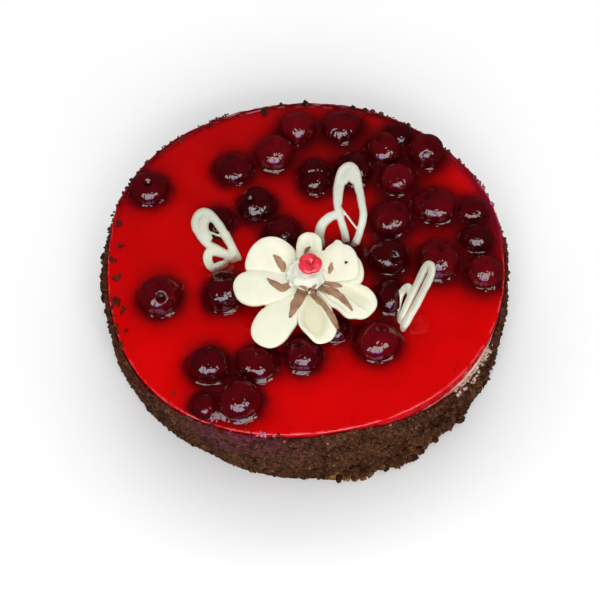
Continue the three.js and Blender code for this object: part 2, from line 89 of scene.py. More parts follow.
PETALS = {
    "petal_1": dict(a=(-2.0, -15.5, 48.0), b=(-30.8, -6.0, 53.4), w=13.0, roll=-8, t=2.7, u=2.6, cup=-0.6, arch=1.2, p=0.56, q=0.20, bow=-2.4),
    "petal_2": dict(a=(-3.5, -22.4, 49.0), b=(-37.8, -29.4, 54.2), w=11.3, roll=4, t=2.8, u=2.8, cup=-0.8, arch=1.4, p=0.56, q=0.34, bow=0),
    "petal_3": dict(a=(-1.5, -25.0, 48.2), b=(-23.2, -62.4, 52.4), w=11.2, roll=4, t=2.6, u=2.6, cup=-0.5, arch=1.6, p=0.54, q=0.26, bow=-1.0),
    "petal_4": dict(a=(3.4, -27.5, 48.8), b=(8.0, -62.4, 53.2), w=9.3, roll=0, t=2.2, u=2.4, cup=2.0, arch=0.8, p=0.68, q=0.26, bow=-0.6),
    "petal_5": dict(a=(7.0, -22.6, 48.6), b=(35.0, -44.6, 53.2), w=10.6, roll=-8, t=2.4, u=2.5, cup=1.0, arch=1.6, p=0.54, q=0.30, bow=0),
    "petal_6": dict(a=(6.0, -16.6, 50.8), b=(31.8, -13.4, 57.8), w=12.5, roll=2, t=2.6, u=2.4, cup=-0.8, arch=1.0, p=0.54, q=0.22, bow=1.0),
    "petal_7": dict(a=(1.8, -15.5, 48.8), b=(3.4, 5.4, 57.4), w=6.8, roll=6, t=2.6, u=2.6, cup=-0.8, arch=1.2, p=0.50, q=0.1, bow=0),
}
ROSETTE = dict(x=1.2, y=-19.9, lobes=7, depth=0.12)
DOT = dict(x=3.1, y=-18.3, r=6.1, z0=59.2, h=5.6)

LACES = {
    "lace_left": dict(foot=(-36.0, -1.7, 40.6), lean=(45, 133), twist=0, wide=5.6, thick=3.0,
        big=[(0.1, -0.6), (1.2, 7.7), (1.8, 16.6), (1.8, 26.0), (0.1, 33.0), (-3.5, 35.0), (-8.1, 32.3), (-9.7, 26.1), (-9.0, 19.0), (-6.0, 12.4), (-2.9, 5.9), (-1.2, 1.0)],
        small=[(-4.3, 9.3), (-7.0, 12.0), (-9.8, 14.0), (-12.9, 12.0, -0.4), (-14.1, 8.5, -2.2), (-13.1, 5.9, -3.7), (-9.6, 4.5, -2.9), (-5.6, 3.4, -1.0)],
        crown=[(-7.0, 19.5), (-6.6, 25.0), (-4.6, 29.4), (-1.4, 30.4)],
        brace=[(-6.0, 25.6), (0.4, 16.6)]),
    "lace_back": dict(foot=(26.9, 7.8, 43.0), lean=(47, 90), twist=0, wide=5.2, thick=3.0,
        big=[(0.9, -2.6), (4.1, 6.1), (6.2, 15.0), (5.2, 24.0), (3.8, 33.4), (2.6, 39.8), (-0.7, 43.1), (-5.4, 40.0), (-7.7, 32.1), (-8.1, 24.3), (-7.1, 17.0), (-5.2, 9.7), (-3.9, 4.0), (-3.6, -2.0)],
        small=[(-6.9, 16.4), (-11.9, 14.9), (-16.4, 10.9), (-18.1, 5.0), (-18.0, -2.4)],
        crown=[(-4.3, 33.8), (-1.3, 37.4), (1.6, 34.2)],
        brace=[(-6.6, 20.8), (4.0, 5.8)]),
    "lace_right": dict(foot=(50.5, -46.1, 42.0), lean=(50, 48), twist=-50, wide=5.5, thick=3.0,
        big=[(1.7, -2.4), (2.4, 8.1), (2.6, 15.1), (2.4, 22.6), (2.2, 29.3), (1.4, 34.3), (-0.8, 37.2), (-3.6, 36.6), (-4.6, 33.2), (-4.3, 28.6), (-4.0, 23.3), (-3.9, 18.0), (-3.5, 12.2), (-3.0, 6.2), (-2.4, -0.6)],
        small=[(-5.0, 17.4), (-8.7, 18.8), (-10.9, 16.0), (-11.4, 12.1), (-10.4, 8.5), (-8.5, 4.3), (-6.6, 0.6)],
        crown=None, brace=None),
}


# ---------------------------------------------------------------- helpers
def place(v):
    return (np.asarray(v, float).reshape(-1, 3) + SHIFT) * 0.001


def smooth(a, b, x):
    t = np.clip((x - a) / (b - a), 0, 1)
    return t * t * (3 - 2 * t)


def linear(rgb):
    """sRGB 0-255 to linear 0-1"""
    c = np.asarray(rgb, float) / 255
    return np.where(c <= 0.04045, c / 12.92, ((c + 0.055) / 1.055) ** 2.4)


def scramble(ix, iy, iz, seed):
    h = (ix * 374761393 + iy * 668265263 + iz * 1442695041 + seed * 974634777) & 0xFFFFFFFF
    h = ((h ^ (h >> 13)) * 1274126177) & 0xFFFFFFFF
    h = ((h ^ (h >> 16)) * 2246822519) & 0xFFFFFFFF
    return h ^ (h >> 15)


def noise(P, size, seed=0):
    """smooth gradient noise, about -1 to 1, with lumps of about that size in mm"""
    Q = np.asarray(P, float).reshape(-1, 3) / size
    i = np.floor(Q).astype(np.int64)
    f = Q - i
    u = f * f * f * (f * (f * 6 - 15) + 10)
    out = np.zeros(len(Q))
    for d in itertools.product((0, 1), repeat=3):
        h = scramble(i[:, 0] + d[0], i[:, 1] + d[1], i[:, 2] + d[2], seed)
        g = np.stack([(h & 1023), ((h >> 10) & 1023), ((h >> 20) & 1023)], 1) / 511.5 - 1
        w = np.prod(np.where(d, u, 1 - u), axis=1)
        out += w * ((f - d) * g).sum(1)
    return out * 1.7


def cells(P, size, seed=0):
    """distance to the nearest and second nearest of scattered points, in units of size, and a random 0-1 value of the nearest"""
    Q = np.asarray(P, float).reshape(-1, 3) / size
    i = np.floor(Q).astype(np.int64)
    f1, f2, who = np.full(len(Q), 9.0), np.full(len(Q), 9.0), np.zeros(len(Q))
    for d in itertools.product((-1, 0, 1), repeat=3):
        c = i + d
        h = scramble(c[:, 0], c[:, 1], c[:, 2], seed)
        o = np.stack([(h & 1023), ((h >> 10) & 1023), ((h >> 20) & 1023)], 1) / 1023.0
        r = np.linalg.norm(c + o - Q, axis=1)
        near = r < f1
        f2 = np.where(near, f1, np.minimum(f2, r))
        who = np.where(near, (h >> 7 & 4095) / 4095.0, who)
        f1 = np.where(near, r, f1)
    return f1, f2, who


def piece(name, verts, faces, material, nodes=(), shade=True, paint=None, placed=False):
    """a mesh object that rides on the cake; faces is a list of index arrays with 3 or 4 columns"""
    me = bpy.data.meshes.new(name)
    v = np.asarray(verts, float) if placed else place(verts)
    faces = [np.asarray(f, np.int32) for f in (faces if isinstance(faces, list) else [faces]) if len(f)]
    flat = np.concatenate([f.ravel() for f in faces])
    size = np.concatenate([np.full(len(f), f.shape[1], np.int32) for f in faces])
    start = np.concatenate([[0], np.cumsum(size)[:-1]]).astype(np.int32)
    me.vertices.add(len(v))
    me.vertices.foreach_set("co", v.astype(np.float32).ravel())
    me.loops.add(len(flat))
    me.loops.foreach_set("vertex_index", flat)
    me.polygons.add(len(size))
    me.polygons.foreach_set("loop_start", start)
    me.update(calc_edges=True)
    me.validate()
    me.polygons.foreach_set("use_smooth", np.full(len(me.polygons), shade))
    for key, value in (paint or {}).items():
        value = np.asarray(value, np.float32)
        if value.ndim == 1:
            a = me.attributes.new(key, "FLOAT", "POINT")
            a.data.foreach_set("value", value)
        else:
            if value.shape[1] == 3:
                value = np.c_[value, np.ones(len(value), np.float32)]
            a = me.attributes.new(key, "FLOAT_COLOR", "POINT")
            a.data.foreach_set("color", value.ravel())
    ob = bpy.data.objects.new(name, me)
    bpy.context.scene.collection.objects.link(ob)
    me.materials.append(material)
    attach(ob, "root")
    if nodes:
        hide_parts(*nodes)
    return ob


def spindle(rings, first, last):
    """closed surface from an (m, n, 3) array of rings and a point at each end"""
    rings = np.asarray(rings, float)
    m, n = rings.shape[:2]
    v = np.vstack([[first], rings.reshape(-1, 3), [last]])
    i = np.arange(m - 1)[:, None] * n
    j = np.arange(n)[None, :]
    k = (j + 1) % n
    quads = np.stack([1 + i + j, 1 + i + k, 1 + i + n + k, 1 + i + n + j], -1).reshape(-1, 4)
    j, k = np.arange(n), (np.arange(n) + 1) % n
    a = np.stack([np.zeros(n, int), 1 + k, 1 + j], 1)
    e = len(v) - 1
    b = np.stack([1 + (m - 1) * n + j, 1 + (m - 1) * n + k, np.full(n, e)], 1)
    return outward(v, [quads, a, b])


def hoop(rings):
    """closed ring surface from an (m, n, 3) array whose sections and steps both close"""
    rings = np.asarray(rings, float)
    m, n = rings.shape[:2]
    i, i2 = np.arange(m)[:, None] * n, ((np.arange(m) + 1) % m)[:, None] * n
    j, k = np.arange(n)[None, :], ((np.arange(n) + 1) % n)[None, :]
    quads = np.stack([i + j, i + k, i2 + k, i2 + j], -1).reshape(-1, 4)
    return outward(rings.reshape(-1, 3), [quads])


def outward(v, faces):
    total = 0.0
    for f in faces:
        for t in ((0, 1, 2), (0, 2, 3))[: f.shape[1] - 2]:
            a, b, c = (v[f[:, x]] for x in t)
            total += (a * np.cross(b, c)).sum()
    return v, ([f[:, ::-1] for f in faces] if total < 0 else faces)


def merged(parts):
    """several (verts, faces) as one; faces may hold quads and triangles"""
    vs, quads, tris, n = [], [], [], 0
    for v, faces in parts:
        vs.append(v)
        for f in faces:
            (quads if f.shape[1] == 4 else tris).append(f + n)
        n += len(v)
    out = []
    if quads:
        out.append(np.vstack(quads))
    if tris:
        out.append(np.vstack(tris))
    return np.vstack(vs), out


def fused(v, faces, voxel, passes=6):
    """one skin round everything inside the given closed shapes, in mm"""
    me = bpy.data.meshes.new("tmp")
    me.from_pydata(v.tolist(), [], [f.tolist() for a in faces for f in a])
    ob = bpy.data.objects.new("tmp", me)
    bpy.context.scene.collection.objects.link(ob)
    mod = ob.modifiers.new("r", "REMESH")
    mod.mode, mod.voxel_size, mod.adaptivity = "VOXEL", voxel, 0.0
    if passes:
        sm = ob.modifiers.new("s", "SMOOTH")
        sm.factor, sm.iterations = 0.5, passes
    dg = bpy.context.evaluated_depsgraph_get()
    ev = ob.evaluated_get(dg)
    m2 = ev.to_mesh()
    out = np.zeros(len(m2.vertices) * 3)
    m2.vertices.foreach_get("co", out)
    q = np.zeros(len(m2.loops), np.int32)
    m2.loops.foreach_get("vertex_index", q)
    tot = np.zeros(len(m2.polygons), np.int32)
    m2.polygons.foreach_get("loop_total", tot)
    ev.to_mesh_clear()
    bpy.data.objects.remove(ob)
    bpy.data.meshes.remove(me)
    if (tot == 4).all():
        return out.reshape(-1, 3), [q.reshape(-1, 4)]
    fs, k = {3: [], 4: []}, 0
    for t in tot:
        fs[int(t)].append(q[k:k + t])
        k += t
    return out.reshape(-1, 3), [np.array(f) for f in fs.values() if f]


def normals(v, faces):
    n = np.zeros_like(v)
    for f in faces:
        for t in ((0, 1, 2), (0, 2, 3))[: f.shape[1] - 2]:
            a, b, c = (v[f[:, x]] for x in t)
            w = np.cross(b - a, c - a)
            for x in t:
                np.add.at(n, f[:, x], w)
    return n / np.maximum(np.linalg.norm(n, axis=1), 1e-9)[:, None]


def catmull(points, steps, closed=False):
    """evenly spaced points on a smooth curve through the given ones"""
    p = np.asarray(points, float)
    n = len(p)
    out = []
    for i in range(n if closed else n - 1):
        q = [p[(i + k - 1) % n] if closed else p[max(0, min(n - 1, i + k - 1))] for k in range(4)]
        for t in np.linspace(0, 1, 24, endpoint=False):
            out.append(0.5 * (2 * q[1] + (q[2] - q[0]) * t + (2 * q[0] - 5 * q[1] + 4 * q[2] - q[3]) * t * t
                              + (3 * q[1] - q[0] - 3 * q[2] + q[3]) * t ** 3))
    if not closed:
        out.append(p[-1])
    out = np.array(out)
    s = np.r_[0, np.cumsum(np.linalg.norm(np.diff(out, axis=0), axis=1))]
    at = np.linspace(0, s[-1], steps)
    return np.stack([np.interp(at, s, out[:, k]) for k in range(p.shape[1])], 1)


# ------------------------------------------------------------- the outline
def around(t, deg):
    return (np.degrees(t) - deg + 180) % 360 - 180


def series(base, terms, t):
    return RIM * (base + sum(c * np.cos(k * t) + s * np.sin(k * t) for k, c, s in terms))


def edge_radius(t):
    return series(1.003, EDGE, t)


def core_radius(t, z):
    foot = series(1.0346, FOOT, t) - COAT - 0.6
    return foot + (edge_radius(t) - foot) * z / TOP


def coat_outside(t, z):
    r = core_radius(t, z) + COAT + 0.45 * np.sin(7 * t + 0.6) + 0.35 * np.sin(13 * t + z * 0.21) + 0.25 * np.sin(22 * t - z * 0.3)
    r = r + 0.6 * np.exp(-z / 6)
    for a, w, e, zc in CLUMPS:
        r = r + e * np.exp(-(around(t, a) / w) ** 2) * np.exp(-((z - zc) / 12) ** 2)
    return r


def coat_top(t):
    z = TOP - 1.6 + 0.6 * np.sin(9 * t + 1) + 0.4 * np.sin(17 * t)
    for a, w, e in COAT_EDGE:
        z = z + e * np.exp(-np.abs(around(t, a) / w) ** (4 if e < 0 else 2))
    return z


def crumb_top(t):
    """the crumbs' upper edge as it shows: below the jelly's rim along the back and the sides"""
    z = coat_top(t)
    back = smooth(80, 55, np.abs(around(t, 108)))
    z = z + (TOP - 2.4 - z) * 0.6 * back - 0.4 - 3.4 * back
    z = z + 3.6 * np.exp(-(around(t, 318) / 24) ** 4)
    p = np.stack([112 * np.cos(t), 112 * np.sin(t), 0 * t], -1).reshape(-1, 3)
    ragged = (noise(p, 4.5, 55) + 0.7 * noise(p, 2.0, 56)).reshape(np.shape(t))
    z = z + (2.3 * ragged - 6.6) * np.exp(-(around(t, 323.5) / 9.5) ** 4) + 0.25 * ragged
    for a, w, e in ((101, 1.6, 3.2), (88.5, 1.6, 2.6), (70, 2.0, 3.2), (66, 2.2, 3.4), (176, 8, 0.6)):
        z = z + e * np.exp(-(around(t, a) / w) ** 2)
    return z


def polar(t, r, z):
    return np.stack([r * np.cos(t), r * np.sin(t), z], -1)


# --------------------------------------------------------------- materials
def material(name, rough=0.5, base=None, attribute="tint", **sockets):
    """a Principled material whose colour comes from the painted attribute, ready for more nodes"""
    m = bpy.data.materials.new(name)
    m.use_nodes = True
    nt = m.node_tree
    b = nt.nodes["Principled BSDF"]
    b.inputs["Roughness"].default_value = rough
    for k, v in sockets.items():
        b.inputs[k.replace("_", " ")].default_value = v
    if base is not None:
        b.inputs["Base Color"].default_value = (*base, 1)
    else:
        a = nt.nodes.new("ShaderNodeAttribute")
        a.attribute_name = attribute
        nt.links.new(a.outputs["Color"], b.inputs["Base Color"])
    return m


def add(nt, kind, **values):
    n = nt.nodes.new(kind)
    for k, v in values.items():
        if hasattr(n, k):
            setattr(n, k, v)
        else:
            n.inputs[k.replace("_", " ")].default_value = v
    return n


def position(nt):
    g = nt.nodes.new("ShaderNodeTexCoord")
    return g.outputs["Object"]


def mottle(m, size, low, high, detail=3.0):
    """multiplies the colour by a noise between low and high; size in mm"""
    nt = m.node_tree
    b = nt.nodes["Principled BSDF"]
    src = b.inputs["Base Color"].links[0].from_socket if b.inputs["Base Color"].links else None
    n = add(nt, "ShaderNodeTexNoise", Scale=1000.0 / size, Detail=detail, Roughness=0.6)
    nt.links.new(position(nt), n.inputs["Vector"])
    r = add(nt, "ShaderNodeMapRange", From_Min=0.3, From_Max=0.7, To_Min=low, To_Max=high)
    nt.links.new(n.outputs["Fac"], r.inputs["Value"])
    x = nt.nodes.new("ShaderNodeVectorMath")
    x.operation = "SCALE"
    if src is None:
        x.inputs[0].default_value = b.inputs["Base Color"].default_value[:3]
    else:
        nt.links.new(src, x.inputs[0])
    nt.links.new(r.outputs["Result"], x.inputs["Scale"])
    nt.links.new(x.outputs["Vector"], b.inputs["Base Color"])
    return n


def rough_noise(m, size, low, high, detail=2.0):
    nt = m.node_tree
    n = add(nt, "ShaderNodeTexNoise", Scale=1000.0 / size, Detail=detail)
    nt.links.new(position(nt), n.inputs["Vector"])
    r = add(nt, "ShaderNodeMapRange", From_Min=0.3, From_Max=0.7, To_Min=low, To_Max=high)
    nt.links.new(n.outputs["Fac"], r.inputs["Value"])
    nt.links.new(r.outputs["Result"], nt.nodes["Principled BSDF"].inputs["Roughness"])


def bump(m, layers):
    """layers: (size mm, height mm, detail); one bump from the sum of noises"""
    nt = m.node_tree
    b = nt.nodes["Principled BSDF"]
    last = None
    for size, height, detail in layers:
        n = add(nt, "ShaderNodeTexNoise", Scale=1000.0 / size, Detail=detail, Roughness=0.55)
        nt.links.new(position(nt), n.inputs["Vector"])
        k = add(nt, "ShaderNodeBump", Strength=1.0, Distance=height * 0.001)
        nt.links.new(n.outputs["Fac"], k.inputs["Height"])
        if last is not None:
            nt.links.new(last.outputs["Normal"], k.inputs["Normal"])
        last = k
    nt.links.new(last.outputs["Normal"], b.inputs["Normal"])
    if b.inputs["Coat Weight"].default_value > 0:
        nt.links.new(last.outputs["Normal"], b.inputs["Coat Normal"])


M_JELLY = material("jelly_glaze", rough=0.05, Specular_IOR_Level=0.42)
rough_noise(M_JELLY, 14, 0.03, 0.08)
bump(M_JELLY, [(16, 0.10, 2), (4.5, 0.012, 2)])
mottle(M_JELLY, 26, 0.93, 1.05)

M_CHERRY = material("cherry_skin", rough=0.3, Specular_IOR_Level=0.0, Coat_Weight=1.0, Coat_Roughness=0.03, Coat_IOR=1.52)
mottle(M_CHERRY, 5.0, 0.82, 1.2)
bump(M_CHERRY, [(5.2, 0.15, 1.0), (1.3, 0.004, 2)])

M_CRUMB = material("chocolate_crumb", rough=0.95, Specular_IOR_Level=0.08)
mottle(M_CRUMB, 1.1, 0.62, 1.45, 4)
bump(M_CRUMB, [(0.9, 0.22, 4)])

M_CREAM = material("yogurt_cream", rough=0.55, Specular_IOR_Level=0.35)
mottle(M_CREAM, 7, 0.94, 1.04)
bump(M_CREAM, [(5, 0.25, 3), (0.9, 0.03, 2)])

M_SPONGE = material("sponge", rough=0.9, Specular_IOR_Level=0.2)
mottle(M_SPONGE, 2.6, 0.72, 1.15, 4)
bump(M_SPONGE, [(2.4, 0.5, 3), (0.8, 0.2, 3)])

M_FLOWER = material("flower_cream", rough=0.42, Specular_IOR_Level=0.35, Subsurface_Weight=0.12,
                    Subsurface_Scale=0.0022)
M_FLOWER.node_tree.nodes["Principled BSDF"].inputs["Subsurface Radius"].default_value = (1.0, 0.8, 0.5)
mottle(M_FLOWER, 9, 0.96, 1.02)
bump(M_FLOWER, [(6, 0.10, 2), (0.8, 0.012, 2)])

M_LACE = material("white_chocolate", rough=0.36, Specular_IOR_Level=0.4)
mottle(M_LACE, 6, 0.95, 1.03)
bump(M_LACE, [(3.5, 0.06, 2), (0.9, 0.012, 2)])

M_MILK = material("milk_chocolate", rough=0.5, Specular_IOR_Level=0.35)
mottle(M_MILK, 2.2, 0.85, 1.12, 3)
bump(M_MILK, [(1.6, 0.07, 2)])

M_DOT = material("jam", rough=0.3, Specular_IOR_Level=0.3, Coat_Weight=0.7, Coat_Roughness=0.06)
mottle(M_DOT, 3.0, 0.85, 1.1)
bump(M_DOT, [(2.4, 0.12, 2)])


# ---------------------------------------------------------------- cherries
CH = {c[0]: c[1:] for c in CHERRIES}
names = [c[0] for c in CHERRIES]
XY = np.array([c[1:3] for c in CHERRIES])
RXY = np.array([c[4:6] for c in CHERRIES])
SEEDS = XY[:, 0] * 0.37 + XY[:, 1] * 0.61


def cherry_gap(p):
    """distance in the plane from each point to each cherry's outline: negative inside it"""
    d = p[:, None, :2] - XY[None]
    t = np.arctan2(d[..., 1] / RXY[None, :, 1], d[..., 0] / RXY[None, :, 0])
    k = 1 + 0.022 * np.sin(2 * t + SEEDS) + 0.018 * np.sin(3 * t + 2 * SEEDS)
    out = np.hypot(RXY[None, :, 0] * np.cos(t), RXY[None, :, 1] * np.sin(t)) * k
    return np.hypot(d[..., 0], d[..., 1]) - out * 0.985


def cherry_shape(name):
    x, y, dz, rx, ry, dome = CH[name]
    zc, foot, seed = TOP + dz, TOP - JELLY + GAP, x * 0.37 + y * 0.61
    depth, n = zc - foot, 68
    f = np.radians(np.r_[np.linspace(2.2, 108, 34), np.linspace(118, 175, 4)])[:, None]
    t = (np.arange(n) * 2 * np.pi / n)[None, :] + 0 * f
    c, s = np.cos(f), np.sin(f)
    s = np.where(c < 0, np.abs(s) ** 0.62, np.abs(s) ** 0.97)
    k = 1 + 0.022 * np.sin(2 * t + seed) + 0.018 * np.sin(3 * t + 2 * seed)
    z = zc + np.where(c > 0, dome * c, depth * np.maximum(c * 1.22, -1)) + 0 * t
    P = np.stack([x + rx * k * s * np.cos(t), y + ry * k * s * np.sin(t), z], -1)
    poles = np.array([[x, y, zc + dome], [x, y, foot]])
    allp = np.vstack([poles[:1], P.reshape(-1, 3), poles[1:]])
    o = allp - (x, y, zc - 1.5)
    o /= np.linalg.norm(o, axis=1)[:, None]
    sid = int(abs(seed) * 10)
    q = allp + (sid * 3.1, sid * 1.7, 0)
    live = smooth(foot + 1.0, TOP - 1.0, allp[:, 2])      # the flattened underside stays flat
    d = 0.42 * noise(q, 8.5, 3) + 0.17 * noise(q * (1, 1, 0.75), 4.8, 5)
    wr = 1 - np.abs(noise(q * (1, 1, 0.6), 5.4, 9)) * 2.2
    d -= 0.26 * np.clip(wr, 0, 1) ** 3
    pit_shade = np.zeros(len(allp))
    for ox, oy, w, dep in DIMPLES.get(name, []):
        g = np.exp(-(((allp[:, 0] - x - ox) ** 2 + (allp[:, 1] - y - oy) ** 2) / w ** 2) ** 1.3) * (allp[:, 2] > zc)
        lip = np.exp(-((np.hypot(allp[:, 0] - x - ox, allp[:, 1] - y - oy) - w * 1.35) / (w * 0.35)) ** 2) * (allp[:, 2] > zc)
        d -= dep * g - 0.28 * lip
        pit_shade = np.maximum(pit_shade, g * min(1, dep / 2))
    if name == "06":                                     # two halves with a crease across
        g = np.exp(-((allp[:, 1] - y + 2.4) / 1.5) ** 2) * (allp[:, 2] > zc - 2)
        d -= 1.3 * g
    allp = allp + o * (d * live)[:, None]
    # colour: dark maroon; redder towards the jelly as a painted glow of light through the fruit; painted shade darkens
    # the lower sides and makes the stone holes nearly black
    h = smooth(TOP - 1, TOP + 5.5, allp[:, 2])
    n1 = 0.5 + 0.5 * noise(q, 9, 21)
    tone = CHERRY_TONE.get(name, 0.20 + 0.22 * math.sin(seed * 3.3))
    lo, hi = linear((44, 0, 2)) * (1 - tone) + linear((88, 1, 8)) * tone, linear((64, 0, 5)) * (1 - tone) + linear((116, 6, 18)) * tone
    col = lo + (hi - lo) * n1[:, None]
    # painted glow: the fruit turns redder near the jelly, as light shining through it
    jelly_side = linear((80, 0, 5))
    col = jelly_side + (col - jelly_side) * h[:, None]
    # painted shade: darker low on the sides, lighter towards the top of the dome
    col *= (0.50 + 0.50 * smooth(TOP + 0.2, zc + dome * 0.85, allp[:, 2] + 0.6 * noise(q, 6, 22)))[:, None]
    # painted shade: nearly black in the stone holes
    col *= (1 - 0.72 * pit_shade)[:, None]
    # painted shade: darker in the wrinkles' creases
    col *= (1 - 0.15 * np.clip(wr, 0, 1) ** 4 * h)[:, None]
    v = allp
    m = P.shape[0]
    verts, faces = spindle(v[1:-1].reshape(m, n, 3), v[0], v[-1])
    return verts, faces, col


for cname in names:
    v, f, col = cherry_shape(cname)
    piece("cherry_skin_" + cname, v, f, M_CHERRY, ["cherry_" + cname], paint={"tint": col})


# ------------------------------------------------------------------ jelly
def lace_axes(d):
    e, a = (math.radians(q) for q in d["lean"])
    tw = math.radians(d["twist"])
    axis = np.array([math.cos(e) * math.cos(a), math.cos(e) * math.sin(a), math.sin(e)])
    view = np.array([0, 0.538, -0.843])
    n0 = view - axis * view.dot(axis)
    n0 /= np.linalg.norm(n0)
    r0 = np.cross(n0, axis)
    r0 /= np.linalg.norm(r0)
    across = r0 * math.cos(tw) + n0 * math.sin(tw)
    normal = -r0 * math.sin(tw) + n0 * math.cos(tw)
    return axis, across, normal


LACE_FEET = np.array([(-35.6, -2.2), (-39.0, -8.6), (-45.5, -4.0), (27.6, 5.9), (25.4, 6.6), (51.2, -47.6), (49.0, -45.0), (44.8, -43.2)])
rng = np.random.default_rng(41)


def lip_over(t):
    """how far the jelly lies over the coat's edge"""
    k = smooth(88, 72, np.abs(around(t, 86)))
    p = np.stack([118 * np.cos(t), 118 * np.sin(t), 0 * t], -1).reshape(-1, 3)
    return (2.1 + 0.45 * noise(p, 9, 57) + 0.3 * noise(p, 3, 58)).reshape(np.shape(t)) * k


def jelly_shape():
    pts, keep = [], []
    t = np.arange(760) * 2 * np.pi / 760
    rim = edge_radius(t) + lip_over(t)
    rim_in = rim - 0.95
    ring = np.stack([rim_in * np.cos(t), rim_in * np.sin(t)], 1)
    pts.append(ring)
    for k in (0.4, 0.8, 1.25, 1.75, 2.3, 2.9):
        pts.append(np.stack([(rim_in - k) * np.cos(t + 0.004 * (k * 5 % 2)), (rim_in - k) * np.sin(t + 0.004 * (k * 5 % 2))], 1))
    s = 1.75
    gx, gy = np.meshgrid(np.arange(-112, 113, s), np.arange(-112, 113, s * 0.866))
    gx[1::2] += s / 2
    g = np.stack([gx.ravel(), gy.ravel()], 1) + rng.uniform(-0.12, 0.12, (gx.size, 2))
    gt = np.arctan2(g[:, 1], g[:, 0])
    g = g[np.hypot(g[:, 0], g[:, 1]) < edge_radius(gt) - 3.6]
    dg = cherry_gap(g)
    pts.append(g[dg.min(1) > 5.2])
    inner = g[(dg.min(1) < -1.8)]
    pts.append(inner[::3])
    for i in range(len(XY)):
        for d in (-1.0, -0.4, 0.1, 0.45, 0.8, 1.2, 1.65, 2.2, 2.9, 3.8, 4.7):
            n = int(88 if d < 2.5 else 72)
            a = (np.arange(n) + (0.5 if int(d * 10) % 2 else 0)) * 2 * np.pi / n
            k = 1 + 0.022 * np.sin(2 * a + SEEDS[i]) + 0.018 * np.sin(3 * a + 2 * SEEDS[i])
            q = np.stack([RXY[i, 0] * np.cos(a), RXY[i, 1] * np.sin(a)], 1)
            ln = np.hypot(q[:, 0], q[:, 1])
            q *= ((ln * k * 0.985 + d) / ln)[:, None]
            q += XY[i]
            dq = cherry_gap(q)
            own = dq[:, i].copy()
            dq[:, i] = 99
            ok = (dq.min(1) > own - 1e-6) & (dq.min(1) > -1.5)
            tq = np.arctan2(q[:, 1], q[:, 0])
            ok &= np.hypot(q[:, 0], q[:, 1]) < edge_radius(tq) - 3.2
            pts.append(q[ok])
    P = np.vstack(pts)
    # leave out points that nearly coincide
    key = np.round(P / 0.28).astype(np.int64)
    _, first = np.unique(key[:, 0] * 100003 + key[:, 1], return_index=True)
    first = np.unique(np.r_[np.arange(len(ring)), first])
    P = P[first]
    edges = [(i, (i + 1) % len(ring)) for i in range(len(ring))]
    r = delaunay_2d_cdt([Vector(p) for p in P], edges, [], 1, 1e-6)
    V = np.array([tuple(p) for p in r[0]])
    F = np.array([f for f in r[2]], np.int32)
    return V, F, t, rim


JV, JF, JT, JR = jelly_shape()


def jelly_height(xy):
    gap = cherry_gap(xy)
    p3 = np.c_[xy, np.zeros(len(xy))]
    wob = 1 + 0.5 * noise(p3, 10, 31) + 0.22 * noise(p3, 4.5, 32)
    up = np.exp(-(np.maximum(gap, 0) / 2.0) ** 1.12)
    rise = 1.0 - np.prod(1 - 0.96 * up, axis=1)
    z = 2.5 * rise * np.clip(wob, 0.5, 1.5)
    # between close cherries the jelly stands higher
    two = np.sort(gap, axis=1)[:, :2].clip(0, 99)
    z += 0.5 * np.exp(-(two.sum(1) / 4.5) ** 2)
    for fx, fy in LACE_FEET:
        d = np.maximum(np.hypot(xy[:, 0] - fx, xy[:, 1] - fy) - 2.2, 0)
        z += 0.7 * np.exp(-d / 0.9)
    z += 0.16 * noise(p3, 34, 33) + 0.05 * noise(p3, 12, 34)
    return z, gap.min(1)


